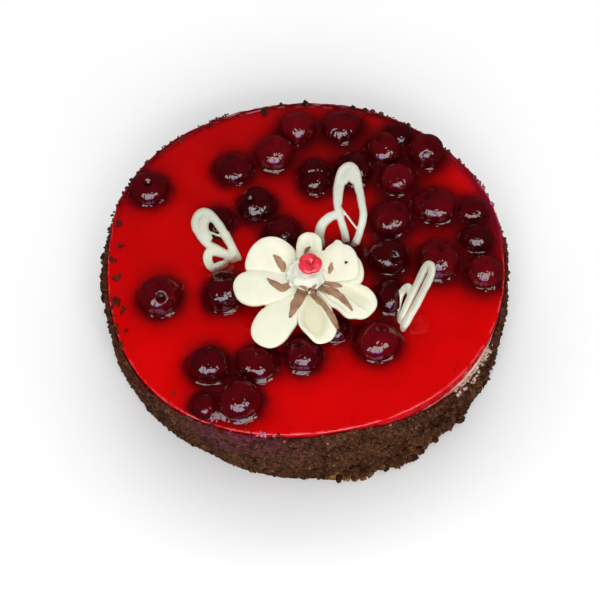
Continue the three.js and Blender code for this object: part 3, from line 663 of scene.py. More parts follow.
def jelly_piece():
    z, gap = jelly_height(JV)
    rr = np.hypot(JV[:, 0], JV[:, 1])
    tt = np.arctan2(JV[:, 1], JV[:, 0])
    over = lip_over(tt)
    inside = edge_radius(tt) + over - rr
    fade = smooth(0.9, 5.0, inside - over)
    z = TOP - 0.12 + z * fade + (0.25 + 0.35 * (over > 0.8)) * np.exp(-((inside - 1.6) / 1.2) ** 2) - 0.35 * np.exp(-((inside - 4.2) / 1.3) ** 2) * (over > 0.8)
    top = np.c_[JV, z]
    n0 = len(top)
    n = len(JT)
    # the first n vertices are the ring just inside the rim; the side goes down from them
    first = np.array([np.argmin((JV[:, 0] - (JR[i] - 0.95) * math.cos(JT[i])) ** 2 + (JV[:, 1] - (JR[i] - 0.95) * math.sin(JT[i])) ** 2) for i in range(n)])
    rows = []
    wav = 0.16 * noise(np.c_[polar(JT, JR, 0 * JT)], 6, 51) + 0.10 * noise(polar(JT, JR, 0 * JT), 2.2, 52)
    for dr, dz in ((-0.55, -0.06), (-0.22, -0.24), (-0.04, -0.55), (0.0, -1.0), (0.0, -1.8), (0.02, -2.8), (0.0, -3.8), (0.0, -4.9), (0.0, -6.0), (-0.02, -6.75)):
        zz = TOP + dz + wav * 0.5 * (dz > -1)
        r = core_radius(JT, zz) + dr + wav * smooth(-0.9, -0.1, dr)
        r = r + 0.18 * noise(polar(JT, JR, zz), 5, 53) * (dz < -0.9)
        r = r + lip_over(JT) * smooth(-3.9, -1.4, dz)
        rows.append(polar(JT, r, zz))
    rows = np.array(rows)
    v = np.vstack([top, rows.reshape(-1, 3), [[0, 0, TOP - JELLY + 0.02]]])
    # a lower disc closes it
    ids = np.vstack([first, n0 + np.arange(rows.shape[0] * n).reshape(-1, n)])
    j, k = np.arange(n), (np.arange(n) + 1) % n
    quads = np.vstack([np.stack([ids[i][j], ids[i + 1][j], ids[i + 1][k], ids[i][k]], 1) for i in range(len(ids) - 1)])
    end = np.stack([ids[-1][j], np.full(n, len(v) - 1), ids[-1][k]], 1)
    F = JF
    a, b, c = (top[F[:, q]] for q in range(3))
    if (np.cross(b - a, c - a)[:, 2].sum()) < 0:
        F = F[:, ::-1]
    # colour
    x, y = v[:, 0], v[:, 1]
    p3 = np.c_[x, y, 0 * x]
    g = np.full(len(v), 9.0)
    g[:n0] = gap
    all_gaps = np.maximum(np.vstack([cherry_gap(JV), np.full((len(v) - n0, len(XY)), 60.0)]) + 0.9 * noise(p3, 7, 61)[:, None], 0)
    crowd = smooth(-15, 55, 0.8 * x + 0.6 * y)[:, None]      # juice runs together among the close cherries at the back right
    halo = 1 - np.prod(1 - 0.985 * np.exp(-(all_gaps / (3.9 + 2.3 * crowd)) ** 1.8), axis=1)
    near = 1 - np.prod(1 - 0.9 * np.exp(-(all_gaps / (8.0 + 4.0 * crowd)) ** 1.5), axis=1)
    red = linear((209, 0, 1))
    deep = linear((168, 0, 2))
    lean = smooth(-30, 95, y * 0.7 - x * 0.55)            # deeper at the upper left
    cloud = 0.5 + 0.5 * noise(p3, 38, 62)
    corner = smooth(60, 118, y * 0.93 - x * 0.25)
    col = red + (deep - red) * np.clip(0.5 * lean + 0.28 * (cloud - 0.5) + 0.55 * corner, 0, 1.3)[:, None]
    spots = np.clip(noise(p3, 15, 63) - 0.35, 0, 1) * 0.5    # faint darker smudges
    col = col * (1 - 0.30 * spots - 0.34 * near)[:, None]
    dark = linear((66, 0, 4))
    col = col + (dark - col) * np.clip(halo, 0, 1)[:, None]
    for fx, fy in LACE_FEET:
        d = np.hypot(x - fx, y - fy)
        k2 = 0.45 * np.exp(-(d / 4.2) ** 2)
        col = col * (1 - k2)[:, None]
    # the side lets the cream behind shine through; along the front rim a pale line is a painted highlight
    inside = np.full(len(v), 9.0)
    inside[:n0] = edge_radius(tt) + over - rr
    z = v[:, 2]
    side = (np.arange(len(v)) >= n0)
    back = smooth(92, 72, np.abs(around(np.arctan2(y, x), 82)))
    front = 1 - back
    band = linear((186, 4, 12))
    pale = linear((198, 26, 44))
    s1 = np.where(side, smooth(TOP - 0.3, TOP - 1.6, z), 0)
    mixb = band + (pale - band) * np.clip(0.25 + 0.8 * noise(np.c_[x, y, z * 1.5], 4.5, 66), 0, 1)[:, None]
    mixb = mixb + (linear((104, 0, 14)) - mixb) * (0.8 * back)[:, None]
    col = col + (mixb - col) * s1[:, None]
    # painted highlight: a dashed pale pink line along the front rim's top edge
    s2 = np.where(side, smooth(TOP - 0.6, TOP - 0.2, z), 0.35 * np.exp(-np.maximum(inside - 0.95, 0) / 0.2)) * smooth(-0.25, 0.3, noise(p3, 9, 67) + 0.8 * noise(p3, 1.6, 68))
    col = col + (linear((226, 92, 104)) - col) * (0.55 * s2 * front)[:, None]
    # along the back: a dark lip, with painted highlights: streaks of pale pink glints in it
    lip = smooth(4.6, 3.0, inside) * np.where(side, smooth(TOP - 3, TOP - 1, z), 1)
    col = col + (linear((96, 0, 10)) - col) * (0.85 * lip * back)[:, None]
    glint = smooth(0.10, 0.5, noise(np.c_[np.degrees(np.arctan2(y, x)) * 0.55, np.minimum(inside, 6) * 3.2, 0 * x], 2.4, 69)) * (np.exp(-((np.minimum(inside, 9) - 1.2) / 0.7) ** 2) + 0.7 * np.exp(-((np.minimum(inside, 9) - 2.7) / 0.5) ** 2))
    glint = np.clip(glint, 0, 1) * (0.10 + 0.90 * smooth(32, 18, np.abs(around(np.arctan2(y, x), 92)))) * back
    col = col + (linear((222, 150, 170)) - col) * (0.75 * glint)[:, None]
    rim_stain = np.exp(-(around(np.arctan2(y, x), 18) / 14) ** 2) * np.exp(-np.maximum(inside, 0) / 2.5)
    col = col + (linear((150, 30, 70)) - col) * (0.45 * rim_stain)[:, None]
    piece("jelly_glaze", v, [quads, F, end], M_JELLY, ["jelly_top"], paint={"tint": np.clip(col, 0, 1)})


jelly_piece()


# ------------------------------------------------------ cream and sponge
def loft(name, z0, z1, mat, nodes, paint, inset=0.0, rough=0.12):
    n, m = 260, 16
    t = np.arange(n) * 2 * np.pi / n
    zs = np.linspace(z0, z1, m)
    rings = []
    for k in (0.25, 0.5, 0.75, 0.9):
        r = (core_radius(t, z0) - inset) * k
        rings.append(polar(t, r, z0 + 0 * t))
    for z in zs:
        r = core_radius(t, z) - inset
        P = polar(t, r, z + 0 * t)
        r = r + rough * noise(P, 6, 71) + rough * 0.5 * noise(P, 2.2, 72)
        e = min(z - z0, z1 - z)
        r = r - 0.25 * max(0.0, 1 - e / 0.4)
        rings.append(polar(t, r, z + 0 * t))
    for k in (0.9, 0.5):
        rings.append(polar(t, (core_radius(t, z1) - inset) * k, z1 + 0 * t))
    v, f = spindle(rings, (0, 0, z0), (0, 0, z1))
    return piece(name, v, f, mat, nodes, paint={"tint": paint(v)})


def cream_paint(v):
    juice = np.clip(smooth(29.5, 33.5, v[:, 2] + 1.3 * noise(v, 4, 80)) * (0.75 + 0.6 * noise(v, 5, 81)), 0, 1)
    juice *= 1 - 0.85 * np.exp(-(around(np.arctan2(v[:, 1], v[:, 0]), 324) / 9) ** 4) * np.clip(0.8 + 0.7 * noise(v, 3.5, 82), 0, 1)
    return linear((226, 198, 178)) + (linear((206, 64, 78)) - linear((226, 198, 178))) * juice[:, None]


def sponge_paint(v):
    f1, f2, who = cells(v, 3.0, 83)
    col = linear((206, 160, 92)) * (0.82 + 0.3 * who)[:, None]
    col = col * (0.75 + 0.25 * smooth(0.1, 0.4, f1))[:, None]
    flat = np.hypot(v[:, 0], v[:, 1]) < core_radius(np.arctan2(v[:, 1], v[:, 0]), v[:, 2]) - 2.0
    return np.where((flat | (v[:, 2] < 0.01))[:, None], linear((186, 138, 78)), col)


loft("cream_body", SPONGE, TOP - JELLY - 0.02, M_CREAM, ["yogurt_cream"], cream_paint)
loft("sponge_layer", 0.0, SPONGE - 0.02, M_SPONGE, ["sponge_base"], sponge_paint, rough=0.3)


# ------------------------------------------------------------ crumb coat
STAIN = (249, 14, 36)      # purple juice: middle angle, half width, height


def crumb_colour(P, who, top):
    """colour of a crumb from its place and its own random number"""
    t = np.arctan2(P[:, 1], P[:, 0])
    z = P[:, 2]
    dark, light = linear((50, 26, 13)), linear((106, 66, 42))
    k = np.clip(who + 0.25 * noise(P, 14, 91), 0, 1)
    col = dark + (light - dark) * (k ** 1.35)[:, None]
    speck = (who > 0.97)[:, None] * linear((124, 92, 66))
    col = np.where(who[:, None] > 0.97, speck, col)
    # golden crumbs of the sponge along the foot at the front
    g = np.exp(-(around(t, 281) / 9) ** 2) * np.exp(-np.maximum(z - 1.0, 0) / 2.8)
    gold = linear((158, 116, 56)) * (0.55 + 0.7 * who)[:, None]
    w = np.clip(1.3 * g - 0.45 + 1.1 * noise(P, 3.4, 92), 0, 1) * (g > 0.08)
    col = col + (gold - col) * (0.8 * w)[:, None]
    # juice
    j = np.exp(-(around(t, STAIN[0]) / STAIN[1]) ** 2) * smooth(13, 33, z + 3 * noise(P, 9, 93))
    j = np.clip(j * (0.75 + 0.8 * noise(P, 6, 95)), 0, 1)
    col = col + (linear((112, 50, 68)) * (0.5 + 0.8 * who)[:, None] - col) * (0.88 * j)[:, None]
    j2 = np.exp(-(around(t, 18) / 15) ** 2) * smooth(34, 40, z)
    col = col + (linear((128, 44, 72)) * (0.6 + 0.7 * who)[:, None] - col) * (0.7 * j2)[:, None]
    # red juice soaks the uppermost crumbs here and there
    up = smooth(top - 3.0, top - 0.2, z) * np.clip(0.4 + noise(P, 8, 94), 0, 1)
    col = col + (linear((104, 16, 18)) - col) * ((0.35 + 0.4 * np.exp(-(around(t, 232) / 30) ** 4)) * up)[:, None]
    return np.clip(col, 0, 1)


def coat_core():
    n, m = 920, 60
    t = np.arange(n) * 2 * np.pi / n
    top = crumb_top(t)
    rows = []
    inner = lambda z: core_radius(t, z) + COAT_GAP * 0.5
    for k in np.linspace(0, 1, m):                     # up the outside and over the upper edge
        s = k * 1.04
        if s <= 0.96:
            z = top * s / 0.985
            r = coat_outside(t, z) - 0.9
        else:
            q = (s - 0.96) / 0.08
            z = top * 0.975 + 0.8 * np.sin(q * np.pi / 2)
            ro = coat_outside(t, top * 0.975) - 0.9
            r = ro + (inner(top) + 0.2 - ro) * q
        rows.append(polar(t, r, z))
    outer = len(rows)
    for k in (0.8, 0.5, 0.25, 0.0):                    # back down the inside
        z = top * k
        rows.append(polar(t, inner(z), z))
    R = np.array(rows)                                 # (rows, n, 3)
    P = R[:outer].reshape(-1, 3)
    f1, f2, who = cells(P, 2.6, 101)
    g1, g2, who2 = cells(P, 1.35, 102)
    lump = 0.85 * (0.62 - f1) + 0.42 * (0.6 - g1) + 0.55 * noise(P, 7, 103) + 0.22 * noise(P, 0.9, 104)
    out = P.copy()
    out[:, 2] = 0
    out /= np.linalg.norm(out, axis=1)[:, None]
    topz = np.tile(top, outer)
    up = smooth(topz - 2.0, topz, P[:, 2])
    dirn = out * (1 - 0.55 * up)[:, None]
    dirn[:, 2] += 0.85 * up
    edge_gain = 1 + 0.5 * up
    P = P + dirn * (lump * edge_gain)[:, None]
    P[:, 2] = np.where(np.repeat(np.arange(outer), n) == 0, 0.0, np.maximum(P[:, 2], 0.0))
    tt = np.arctan2(P[:, 1], P[:, 0])
    rr = np.hypot(P[:, 0], P[:, 1])
    low = core_radius(tt, P[:, 2]) + 0.35
    rr2 = np.maximum(rr, low)
    P[:, 0] *= rr2 / rr
    P[:, 1] *= rr2 / rr
    R = np.vstack([P.reshape(outer, n, 3), R[outer:]])
    v, f = hoop(R.transpose(1, 0, 2))
    tops = np.tile(top, (R.shape[0], 1)).T.ravel()
    w1 = cells(v, 2.6, 101)[2]
    w2 = cells(v, 1.35, 102)
    who = 0.45 * w1 + 0.55 * w2[2]
    col = crumb_colour(v, who, tops)
    # painted shade: darker in the crevices between crumb lumps
    crevice_shade = smooth(0.15, 0.75, w2[0])
    col *= (1.05 - 0.5 * crevice_shade)[:, None]
    return piece("crumb_bed", v, f, M_CRUMB, ["crumb_coat"], paint={"tint": col})


coat_core()


def ico(level):
    a = (1 + 5 ** 0.5) / 2
    v = [(-1, a, 0), (1, a, 0), (-1, -a, 0), (1, -a, 0), (0, -1, a), (0, 1, a), (0, -1, -a), (0, 1, -a), (a, 0, -1), (a, 0, 1), (-a, 0, -1), (-a, 0, 1)]
    f = [(0, 11, 5), (0, 5, 1), (0, 1, 7), (0, 7, 10), (0, 10, 11), (1, 5, 9), (5, 11, 4), (11, 10, 2), (10, 7, 6), (7, 1, 8),
         (3, 9, 4), (3, 4, 2), (3, 2, 6), (3, 6, 8), (3, 8, 9), (4, 9, 5), (2, 4, 11), (6, 2, 10), (8, 6, 7), (9, 8, 1)]
    v = [np.array(p) / np.linalg.norm(p) for p in v]
    for _ in range(level):
        mid, g = {}, []

        def m(i, j):
            k = (min(i, j), max(i, j))
            if k not in mid:
                p = v[i] + v[j]
                v.append(p / np.linalg.norm(p))
                mid[k] = len(v) - 1
            return mid[k]
        for i, j, k in f:
            x, y, z = m(i, j), m(j, k), m(k, i)
            g += [(i, x, z), (j, y, x), (k, z, y), (x, y, z)]
        f = g
    return np.array(v), np.array(f, np.int32)


def grains(name, centres, sizes, level, seed, colours, mat=None, jag=0.32, flat=0.75, shade=True):
    """joined irregular crumbs: one mesh, each a rough lump of its own shape"""
    rg = np.random.default_rng(seed)
    bv, bf = ico(level)
    n, k = len(centres), len(bv)
    q = rg.normal(size=(n, 4))
    q /= np.linalg.norm(q, axis=1)[:, None]
    w, x, y, z = q.T
    rot = np.stack([1 - 2 * (y * y + z * z), 2 * (x * y - z * w), 2 * (x * z + y * w),
                    2 * (x * y + z * w), 1 - 2 * (x * x + z * z), 2 * (y * z - x * w),
                    2 * (x * z - y * w), 2 * (y * z + x * w), 1 - 2 * (x * x + y * y)], 1).reshape(n, 3, 3)
    sc = np.stack([rg.uniform(0.85, 1.35, n), rg.uniform(0.75, 1.15, n), rg.uniform(flat - 0.15, flat + 0.25, n)], 1)
    off = rg.uniform(-50, 50, (n, 3))
    base = (bv[None] * 1.3 + off[:, None]).reshape(-1, 3)
    rad = 1 + jag * noise(base, 1.0, seed + 5).reshape(n, k) + 0.6 * jag * noise(base, 0.45, seed + 6).reshape(n, k)
    rad += rg.uniform(-0.08, 0.08, (n, k))
    P = bv[None] * rad[..., None] * sc[:, None]
    P = np.einsum("nij,nkj->nki", rot, P) * sizes[:, None, None] + centres[:, None]
    P[..., 2] = np.maximum(P[..., 2], 0.0)
    F = (bf[None] + (np.arange(n) * k)[:, None, None]).reshape(-1, 3)
    col = np.repeat(colours, k, axis=0)
    shadeu = np.clip(0.78 + 0.5 * (rad.ravel() - 0.8), 0.55, 1.15)
    return piece(name, P.reshape(-1, 3), F, mat or M_CRUMB, shade=shade, paint={"tint": np.clip(col * shadeu[:, None], 0, 1)})


def coat_points(n, seed, lift, bias=None):
    """places on the crumb coat's outside and its upper edge"""
    rg = np.random.default_rng(seed)
    t = rg.uniform(0, 2 * np.pi, n)
    top = crumb_top(t)
    k = rg.uniform(0.0, 1.06, n)
    over = k > 0.975
    z = np.where(over, top - 0.4 + rg.uniform(-0.4, 0.5, n), k * top)
    ro = coat_outside(t, np.minimum(z, top))
    ri = core_radius(t, top) + 0.6
    r = np.where(over, ri + (ro - 0.6 - ri) * rg.uniform(0, 1, n), ro - 0.9 + rg.uniform(-0.3, 1.0, n) * lift)
    P = polar(t, r, np.maximum(z, 0.15))
    # crumbs lie in patches: leave out some in the gaps
    keep = noise(P, 8, seed + 3) + 0.6 * noise(P, 3.2, seed + 4) > rg.uniform(-1.5, 0.7, n)
    return P[keep], top[keep], rg.uniform(0, 1, n)[keep], rg


P1, T1, W1, rg = coat_points(9800, 201, 0.45)
grains("crumbs_fine", P1, rg.uniform(0.38, 0.78, len(P1)), 0, 211, crumb_colour(P1, W1, T1), jag=0.45, shade=False)
P2, T2, W2, rg = coat_points(2500, 202, 0.55)
s2 = rg.uniform(0.7, 1.25, len(P2))
grains("crumbs_medium", P2, s2, 1, 212, crumb_colour(P2, W2 * 0.95, T2), jag=0.42)
P3, T3, W3, rg = coat_points(460, 203, 0.7)
s3 = rg.uniform(1.2, 1.9, len(P3))
tz = np.arctan2(P3[:, 1], P3[:, 0])
out3 = np.stack([np.cos(tz), np.sin(tz), 0 * tz], 1)
P3 -= out3 * (s3 * 0.35)[:, None]
# larger clumps at the foot, front right, and loose ones on the rim at the back
CL = []
rg = np.random.default_rng(77)
for a, w, zc, n in ((296, 7, 3, 60), (302, 5, 12, 34), (283, 5, 2, 30), (312, 4, 7, 22), (181, 6, 26, 22), (330, 5, 9, 18), (318, 1.3, 25, 20), (311, 1.4, 18, 20), (325, 1.6, 29, 14), (303, 1.2, 14, 12)):
    t = np.radians(a + rg.normal(0, w * 0.5, n))
    z = np.minimum(np.abs(rg.normal(zc, 3.4, n)), crumb_top(t) - 2.0)
    r = coat_outside(t, z) - 0.6 + rg.uniform(-0.4, 0.9, n) + (rg.uniform(0, 1.4, n) if w < 2 else 0)
    CL.append(polar(t, r, z + 0.6))
CL = np.vstack(CL)
ok = P3[:, 2] > 4.0
P3, s3, T3, W3 = P3[ok], s3[ok], T3[ok], W3[ok]
P3 = np.vstack([P3, CL])
s3 = np.r_[s3, rg.uniform(1.1, 2.2, len(CL))]
T3 = np.r_[T3, coat_top(np.arctan2(CL[:, 1], CL[:, 0]))]
W3 = np.r_[W3, rg.uniform(0, 0.9, len(CL))]
grains("crumbs_coarse", P3, s3, 1, 213, crumb_colour(P3, W3 * 0.9, T3), jag=0.5)

# stray crumbs: on the rim and the jelly
rg = np.random.default_rng(88)
ST = []
for a, r, z, s, n in ((101.5, 106.6, 43.4, 1.9, 3), (88.5, 110.4, 43.0, 1.5, 3), (69.7, 110.0, 43.4, 1.7, 3), (67.3, 110.6, 43.6, 1.6, 3), (64.6, 110.9, 43.4, 1.6, 3),
                      (73.5, 110.8, 42.6, 1.3, 3), (96, 110.4, 42.4, 1.1, 3), (166.3, 107.6, 42.6, 1.2, 2), (186.3, 104.4, 42.5, 0.9, 1), (193.3, 105.7, 42.5, 1.1, 2), (205.1, 105.6, 42.4, 1.0, 1),
                      (177, 108.6, 42.5, 1.2, 3), (172, 109.2, 42.2, 1.0, 3), (199, 108.7, 42.1, 0.8, 2), (57, 110.5, 42.4, 1.2, 3), (40, 111.0, 42.4, 1.1, 3), (110, 109.3, 42.3, 0.9, 2),
                      (130, 109.4, 42.2, 0.9, 2), (150, 110.2, 42.2, 0.9, 2), (0, 109.4, 42.0, 0.8, 2), (230, 107.8, 42.1, 0.8, 2), (262, 109.3, 42.1, 0.8, 2), (8, 110.3, 42.2, 1.0, 2)):
    for q in range(n):
        t = math.radians(a + (rg.normal(0, 0.5) if q else 0))
        rr = r + (rg.normal(0, 0.7) if q else 0)
        ST.append((rr * math.cos(t), rr * math.sin(t), z - (0.5 if q else 0), s * (rg.uniform(0.5, 0.9) if q else 1)))
for _ in range(110):
    t = math.radians(rg.uniform(112, 172) if rg.uniform() < 0.8 else rg.uniform(28, 66))
    e = float(edge_radius(np.array([t]))[0])
    rr = e + rg.uniform(0.4, 2.6)
    ST.append((rr * math.cos(t), rr * math.sin(t), 41.9 + rg.uniform(-0.5, 0.3), rg.uniform(0.35, 0.95)))
for a, r, n in ((165.8, 106.4, 16), (185.7, 103.0, 16), (195.1, 106.0, 18), (179.0, 106.0, 12), (174.1, 102.0, 6), (197.5, 102.9, 8), (203.2, 111.8, 12), (208.2, 113.0, 10)):      # small heaps on the rim at the left
    for _ in range(n):
        t = math.radians(a + rg.normal(0, 0.55))
        rr = min(r + rg.normal(0, 1.0), float(edge_radius(np.array([t]))[0]) - 0.2)
        ST.append((rr * math.cos(t), rr * math.sin(t), 42.1, rg.uniform(0.4, 1.1)))
for _ in range(46):
    t = rg.uniform(0, 2 * np.pi)
    rr = edge_radius(np.array([t]))[0] - abs(rg.normal(0, 2.4)) - 0.4
    ST.append((rr * math.cos(t), rr * math.sin(t), 42.15, rg.uniform(0.25, 0.6)))
ST = np.array(ST)
keep = cherry_gap(ST[:, :2]).min(1) > 0.3
ST = ST[keep]
sc = crumb_colour(ST[:, :3], rg.uniform(0, 0.8, len(ST)), np.full(len(ST), 45.0))
jelly_side = np.exp(-(around(np.arctan2(ST[:, 1], ST[:, 0]), 188) / 26) ** 4) * smooth(113, 107, np.hypot(ST[:, 0], ST[:, 1]))
sc = sc + (linear((112, 16, 10)) - sc) * (0.5 * jelly_side)[:, None]      # reddened where they lie in the jelly
grains("crumbs_stray", ST[:, :3], ST[:, 3], 1, 214, sc, jag=0.5)

# pink cream that squeezed through at the front left and the right
BL = []
for a, r, z, s in ((243.7, 109.7, 41.2, 1.9), (244.8, 109.9, 41.0, 1.5), (242.6, 109.7, 40.8, 1.2), (249.3, 110.6, 40.0, 1.4), (250.2, 110.8, 39.6, 1.2), (248.6, 110.9, 39.4, 1.0),
                   (257.5, 109.8, 40.9, 1.7), (258.4, 109.8, 40.8, 1.3), (256.4, 110.4, 39.8, 1.0), (254.0, 110.9, 38.8, 1.0), (260.8, 109.9, 41.1, 0.9), (238.0, 110.6, 39.4, 0.9),
                   (25.6, 111.6, 41.6, 1.3), (23.5, 111.8, 41.2, 1.6), (20.6, 111.6, 41.4, 1.2), (17.2, 111.1, 41.2, 1.5), (12.5, 110.6, 41.2, 1.2), (9.9, 110.2, 41.2, 1.1), (28.2, 111.6, 41.0, 1.2)):
    t = math.radians(a)
    BL.append(((r + 0.3) * math.cos(t), (r + 0.3) * math.sin(t), z + 0.3, s * 1.25))
for a, s in ((315.5, 0.7), (319.4, 1.1), (320.1, 0.7), (325.8, 1.3), (326.3, 0.8), (332.1, 0.8)):
    t = np.array([math.radians(a)])
    BL.append((float((edge_radius(t)[0] + 1.5) * math.cos(t[0])), float((edge_radius(t)[0] + 1.5) * math.sin(t[0])), float(crumb_top(t)[0]) + 0.25, s))
BL = np.array(BL)
rg = np.random.default_rng(5)
bc = linear((222, 120, 140)) + (linear((190, 70, 100)) - linear((222, 120, 140))) * rg.uniform(0, 1, (len(BL), 1))
bc[12:] = linear((164, 84, 112))
bc[19:] = linear((206, 176, 160))
# rough cream that shows between the crumbs at the front right
t = np.radians(rg.uniform(313.5, 331.5, 420))
z = crumb_top(t) + rg.uniform(-3.0, 1.4, 420)
rough = polar(t, np.where(z > crumb_top(t), core_radius(t, z) + 0.5, coat_outside(t, z) - 0.7), z)
ok = noise(rough, 3.0, 97) > rg.uniform(-1.0, 0.5, 420) + 0.28 * (crumb_top(t) - z)
BL = np.vstack([BL, np.c_[rough, rg.uniform(0.55, 1.25, 420)][ok]])
bc = np.vstack([bc, (linear((226, 204, 188)) + (linear((190, 142, 134)) - linear((226, 204, 188))) * rg.uniform(0, 1, (420, 1)))[ok]])
grains("cream_smears", BL[:, :3], BL[:, 3] * 0.8, 1, 215, bc, mat=M_CREAM, jag=0.5, flat=0.6)
# paler crumbs of cream in the coat
P4, T4, W4, rg = coat_points(360, 204, 0.6)
near = np.exp(-(around(np.arctan2(P4[:, 1], P4[:, 0]), 262) / 22) ** 2) * smooth(24, 38, P4[:, 2]) + 0.25
near += np.exp(-(around(np.arctan2(P4[:, 1], P4[:, 0]), 322) / 20) ** 2) * smooth(24, 31, P4[:, 2])
ok = rg.uniform(0, 1, len(P4)) < near
P4, W4 = P4[ok], W4[ok]
j = np.exp(-(around(np.arctan2(P4[:, 1], P4[:, 0]), STAIN[0]) / 16) ** 2)[:, None]
c4 = linear((158, 122, 92)) * (0.55 + 0.5 * W4)[:, None]
c4 = c4 + (linear((140, 78, 92)) - c4) * j
grains("cream_flecks", P4, rg.uniform(0.3, 0.75, len(P4)), 1, 216, c4, mat=M_CREAM, jag=0.35)


# ----------------------------------------------------------------- flower
def petal_shape(d, m=64, n=78, order=2.5, wave=0.0, seed=0, ragged=0.0, relief=None, outline=None):
    """a piped petal: closed, blunt-edged, with its own folds; returns also how sunken each point is"""
    A, B = np.array(d["a"], float), np.array(d["b"], float)
    ax = B - A
    L = np.linalg.norm(ax)
    ax /= L
    side = np.cross((0, 0, 1), ax)
    side /= np.linalg.norm(side)
    up = np.cross(ax, side)
    r = math.radians(d["roll"])
    nn = side * math.cos(r) + up * math.sin(r)
    uu = -side * math.sin(r) + up * math.cos(r)
    th = (np.pi * (np.arange(1, m)) / m)[:, None]
    s = 0.5 - 0.5 * np.cos(th)
    f = (2 * np.pi * np.arange(n) / n)[None, :]
    c, q = np.cos(f), np.sin(f)
    half = d["w"] * (1 - np.abs(2 * s - 1) ** order) ** (1 / 2.25) * (1 + d["q"] * (s - 0.5) * 2)
    if outline:
        half = half * outline(s, c)
    e = (1 - np.abs(2 * s - 1) ** 3.2) ** 0.5
    lat = c * half + d["bow"] * np.sin(np.pi * s)
    qq = np.sign(q) * np.abs(q) ** 0.7
    ver = np.where(q > 0, d["t"], d["u"]) * e * qq
    mid = (d["cup"] * c * c + d["arch"]) * np.sin(np.pi * s)
    low = relief(s, c) if relief else 0 * (s + c)
    rim = np.exp(-((1 - np.abs(c)) / 0.14) ** 2) + np.exp(-((1 - s) / 0.07) ** 2)
    top = np.where(q > 0, 1.0, 0.0) * np.abs(q) ** 0.25
    ver = ver + top * (low + 0.22 * np.clip(rim, 0, 1) * e)
    out = A + ax * (L * s + 0 * f)[..., None] + nn * lat[..., None] + uu * (ver + mid)[..., None]
    P = out.reshape(-1, 3)
    w = wave * noise(P, 9, 300 + seed) + 0.3 * wave * noise(P, 4, 301 + seed)
    P = P + uu * w[:, None]
    if ragged:
        edge = (np.abs(c) ** 3 * np.ones_like(s)).ravel()[:, None]
        P = P + nn * (np.sign(c) * np.ones_like(s)).ravel()[:, None] * edge * (ragged * noise(P, 4.2, 310 + seed))[:, None]
    v, fs = spindle(P.reshape(m - 1, n, 3), A, B)
    sunk = np.r_[0, np.clip(-(low * top), 0, 3).ravel(), 0]
    return v, fs, sunk


def flower_paint(v, n, sunk=None, base=(243, 242, 218), shade_colour=(180, 178, 142)):
    """ivory, with painted shade: greener grey where the surface turns down or sinks"""
    k = smooth(0.62, -0.45, n[:, 2]) * 0.85
    col = linear(base) + (linear(shade_colour) - linear(base)) * k[:, None]
    if sunk is not None:
        hollow_shade = linear((228, 224, 186))
        col = col + (hollow_shade - col) * (0.8 * smooth(0.25, 1.8, sunk))[:, None]
    return np.clip(col * (1 + 0.025 * noise(v, 11, 330))[:, None], 0, 1)


def gauss(x, m, w):
    return np.exp(-((x - m) / w) ** 2)


def soft_box(x, a, b, w):
    return smooth(a - w, a + w, x) * smooth(b + w, b - w, x)


def hollow_d(s, c):
    """a leaf-shaped hollow with a ridge along its right"""
    r = np.hypot((c + 0.14) / (0.88 - 0.12 * (1 - s)), (s - 0.52) / 0.50)
    h = smooth(1.0, 0.48, r)
    return -2.2 * h + 0.4 * gauss(c, 0.66, 0.13) * soft_box(s, 0.2, 0.88, 0.12)


def folds_e(s, c):
    k = smooth(-0.14, -0.34, c) * soft_box(s, 0.10, 0.74, 0.12)
    ridges = 0.62 * np.cos((c + 0.16 * s + 0.03) * 2 * np.pi / 0.40)
    h = soft_box(c, -0.2, 0.62, 0.22) * soft_box(s, 0.36, 0.9, 0.14)
    return k * (ridges - 0.4) - 1.2 * h + 0.3 * gauss(c, -0.28, 0.1) * soft_box(s, 0.2, 0.95, 0.12)


def folds_g(s, c):
    return 0.55 * np.cos(c * 7.5 + 0.9) * soft_box(s, 0.1, 0.86, 0.12)


def dish(depth, a=0.18, b=0.9, k=0.7):
    return lambda s, c: -depth * smooth(k + 0.15, k - 0.45, np.abs(c)) * soft_box(s, a, b, 0.14)


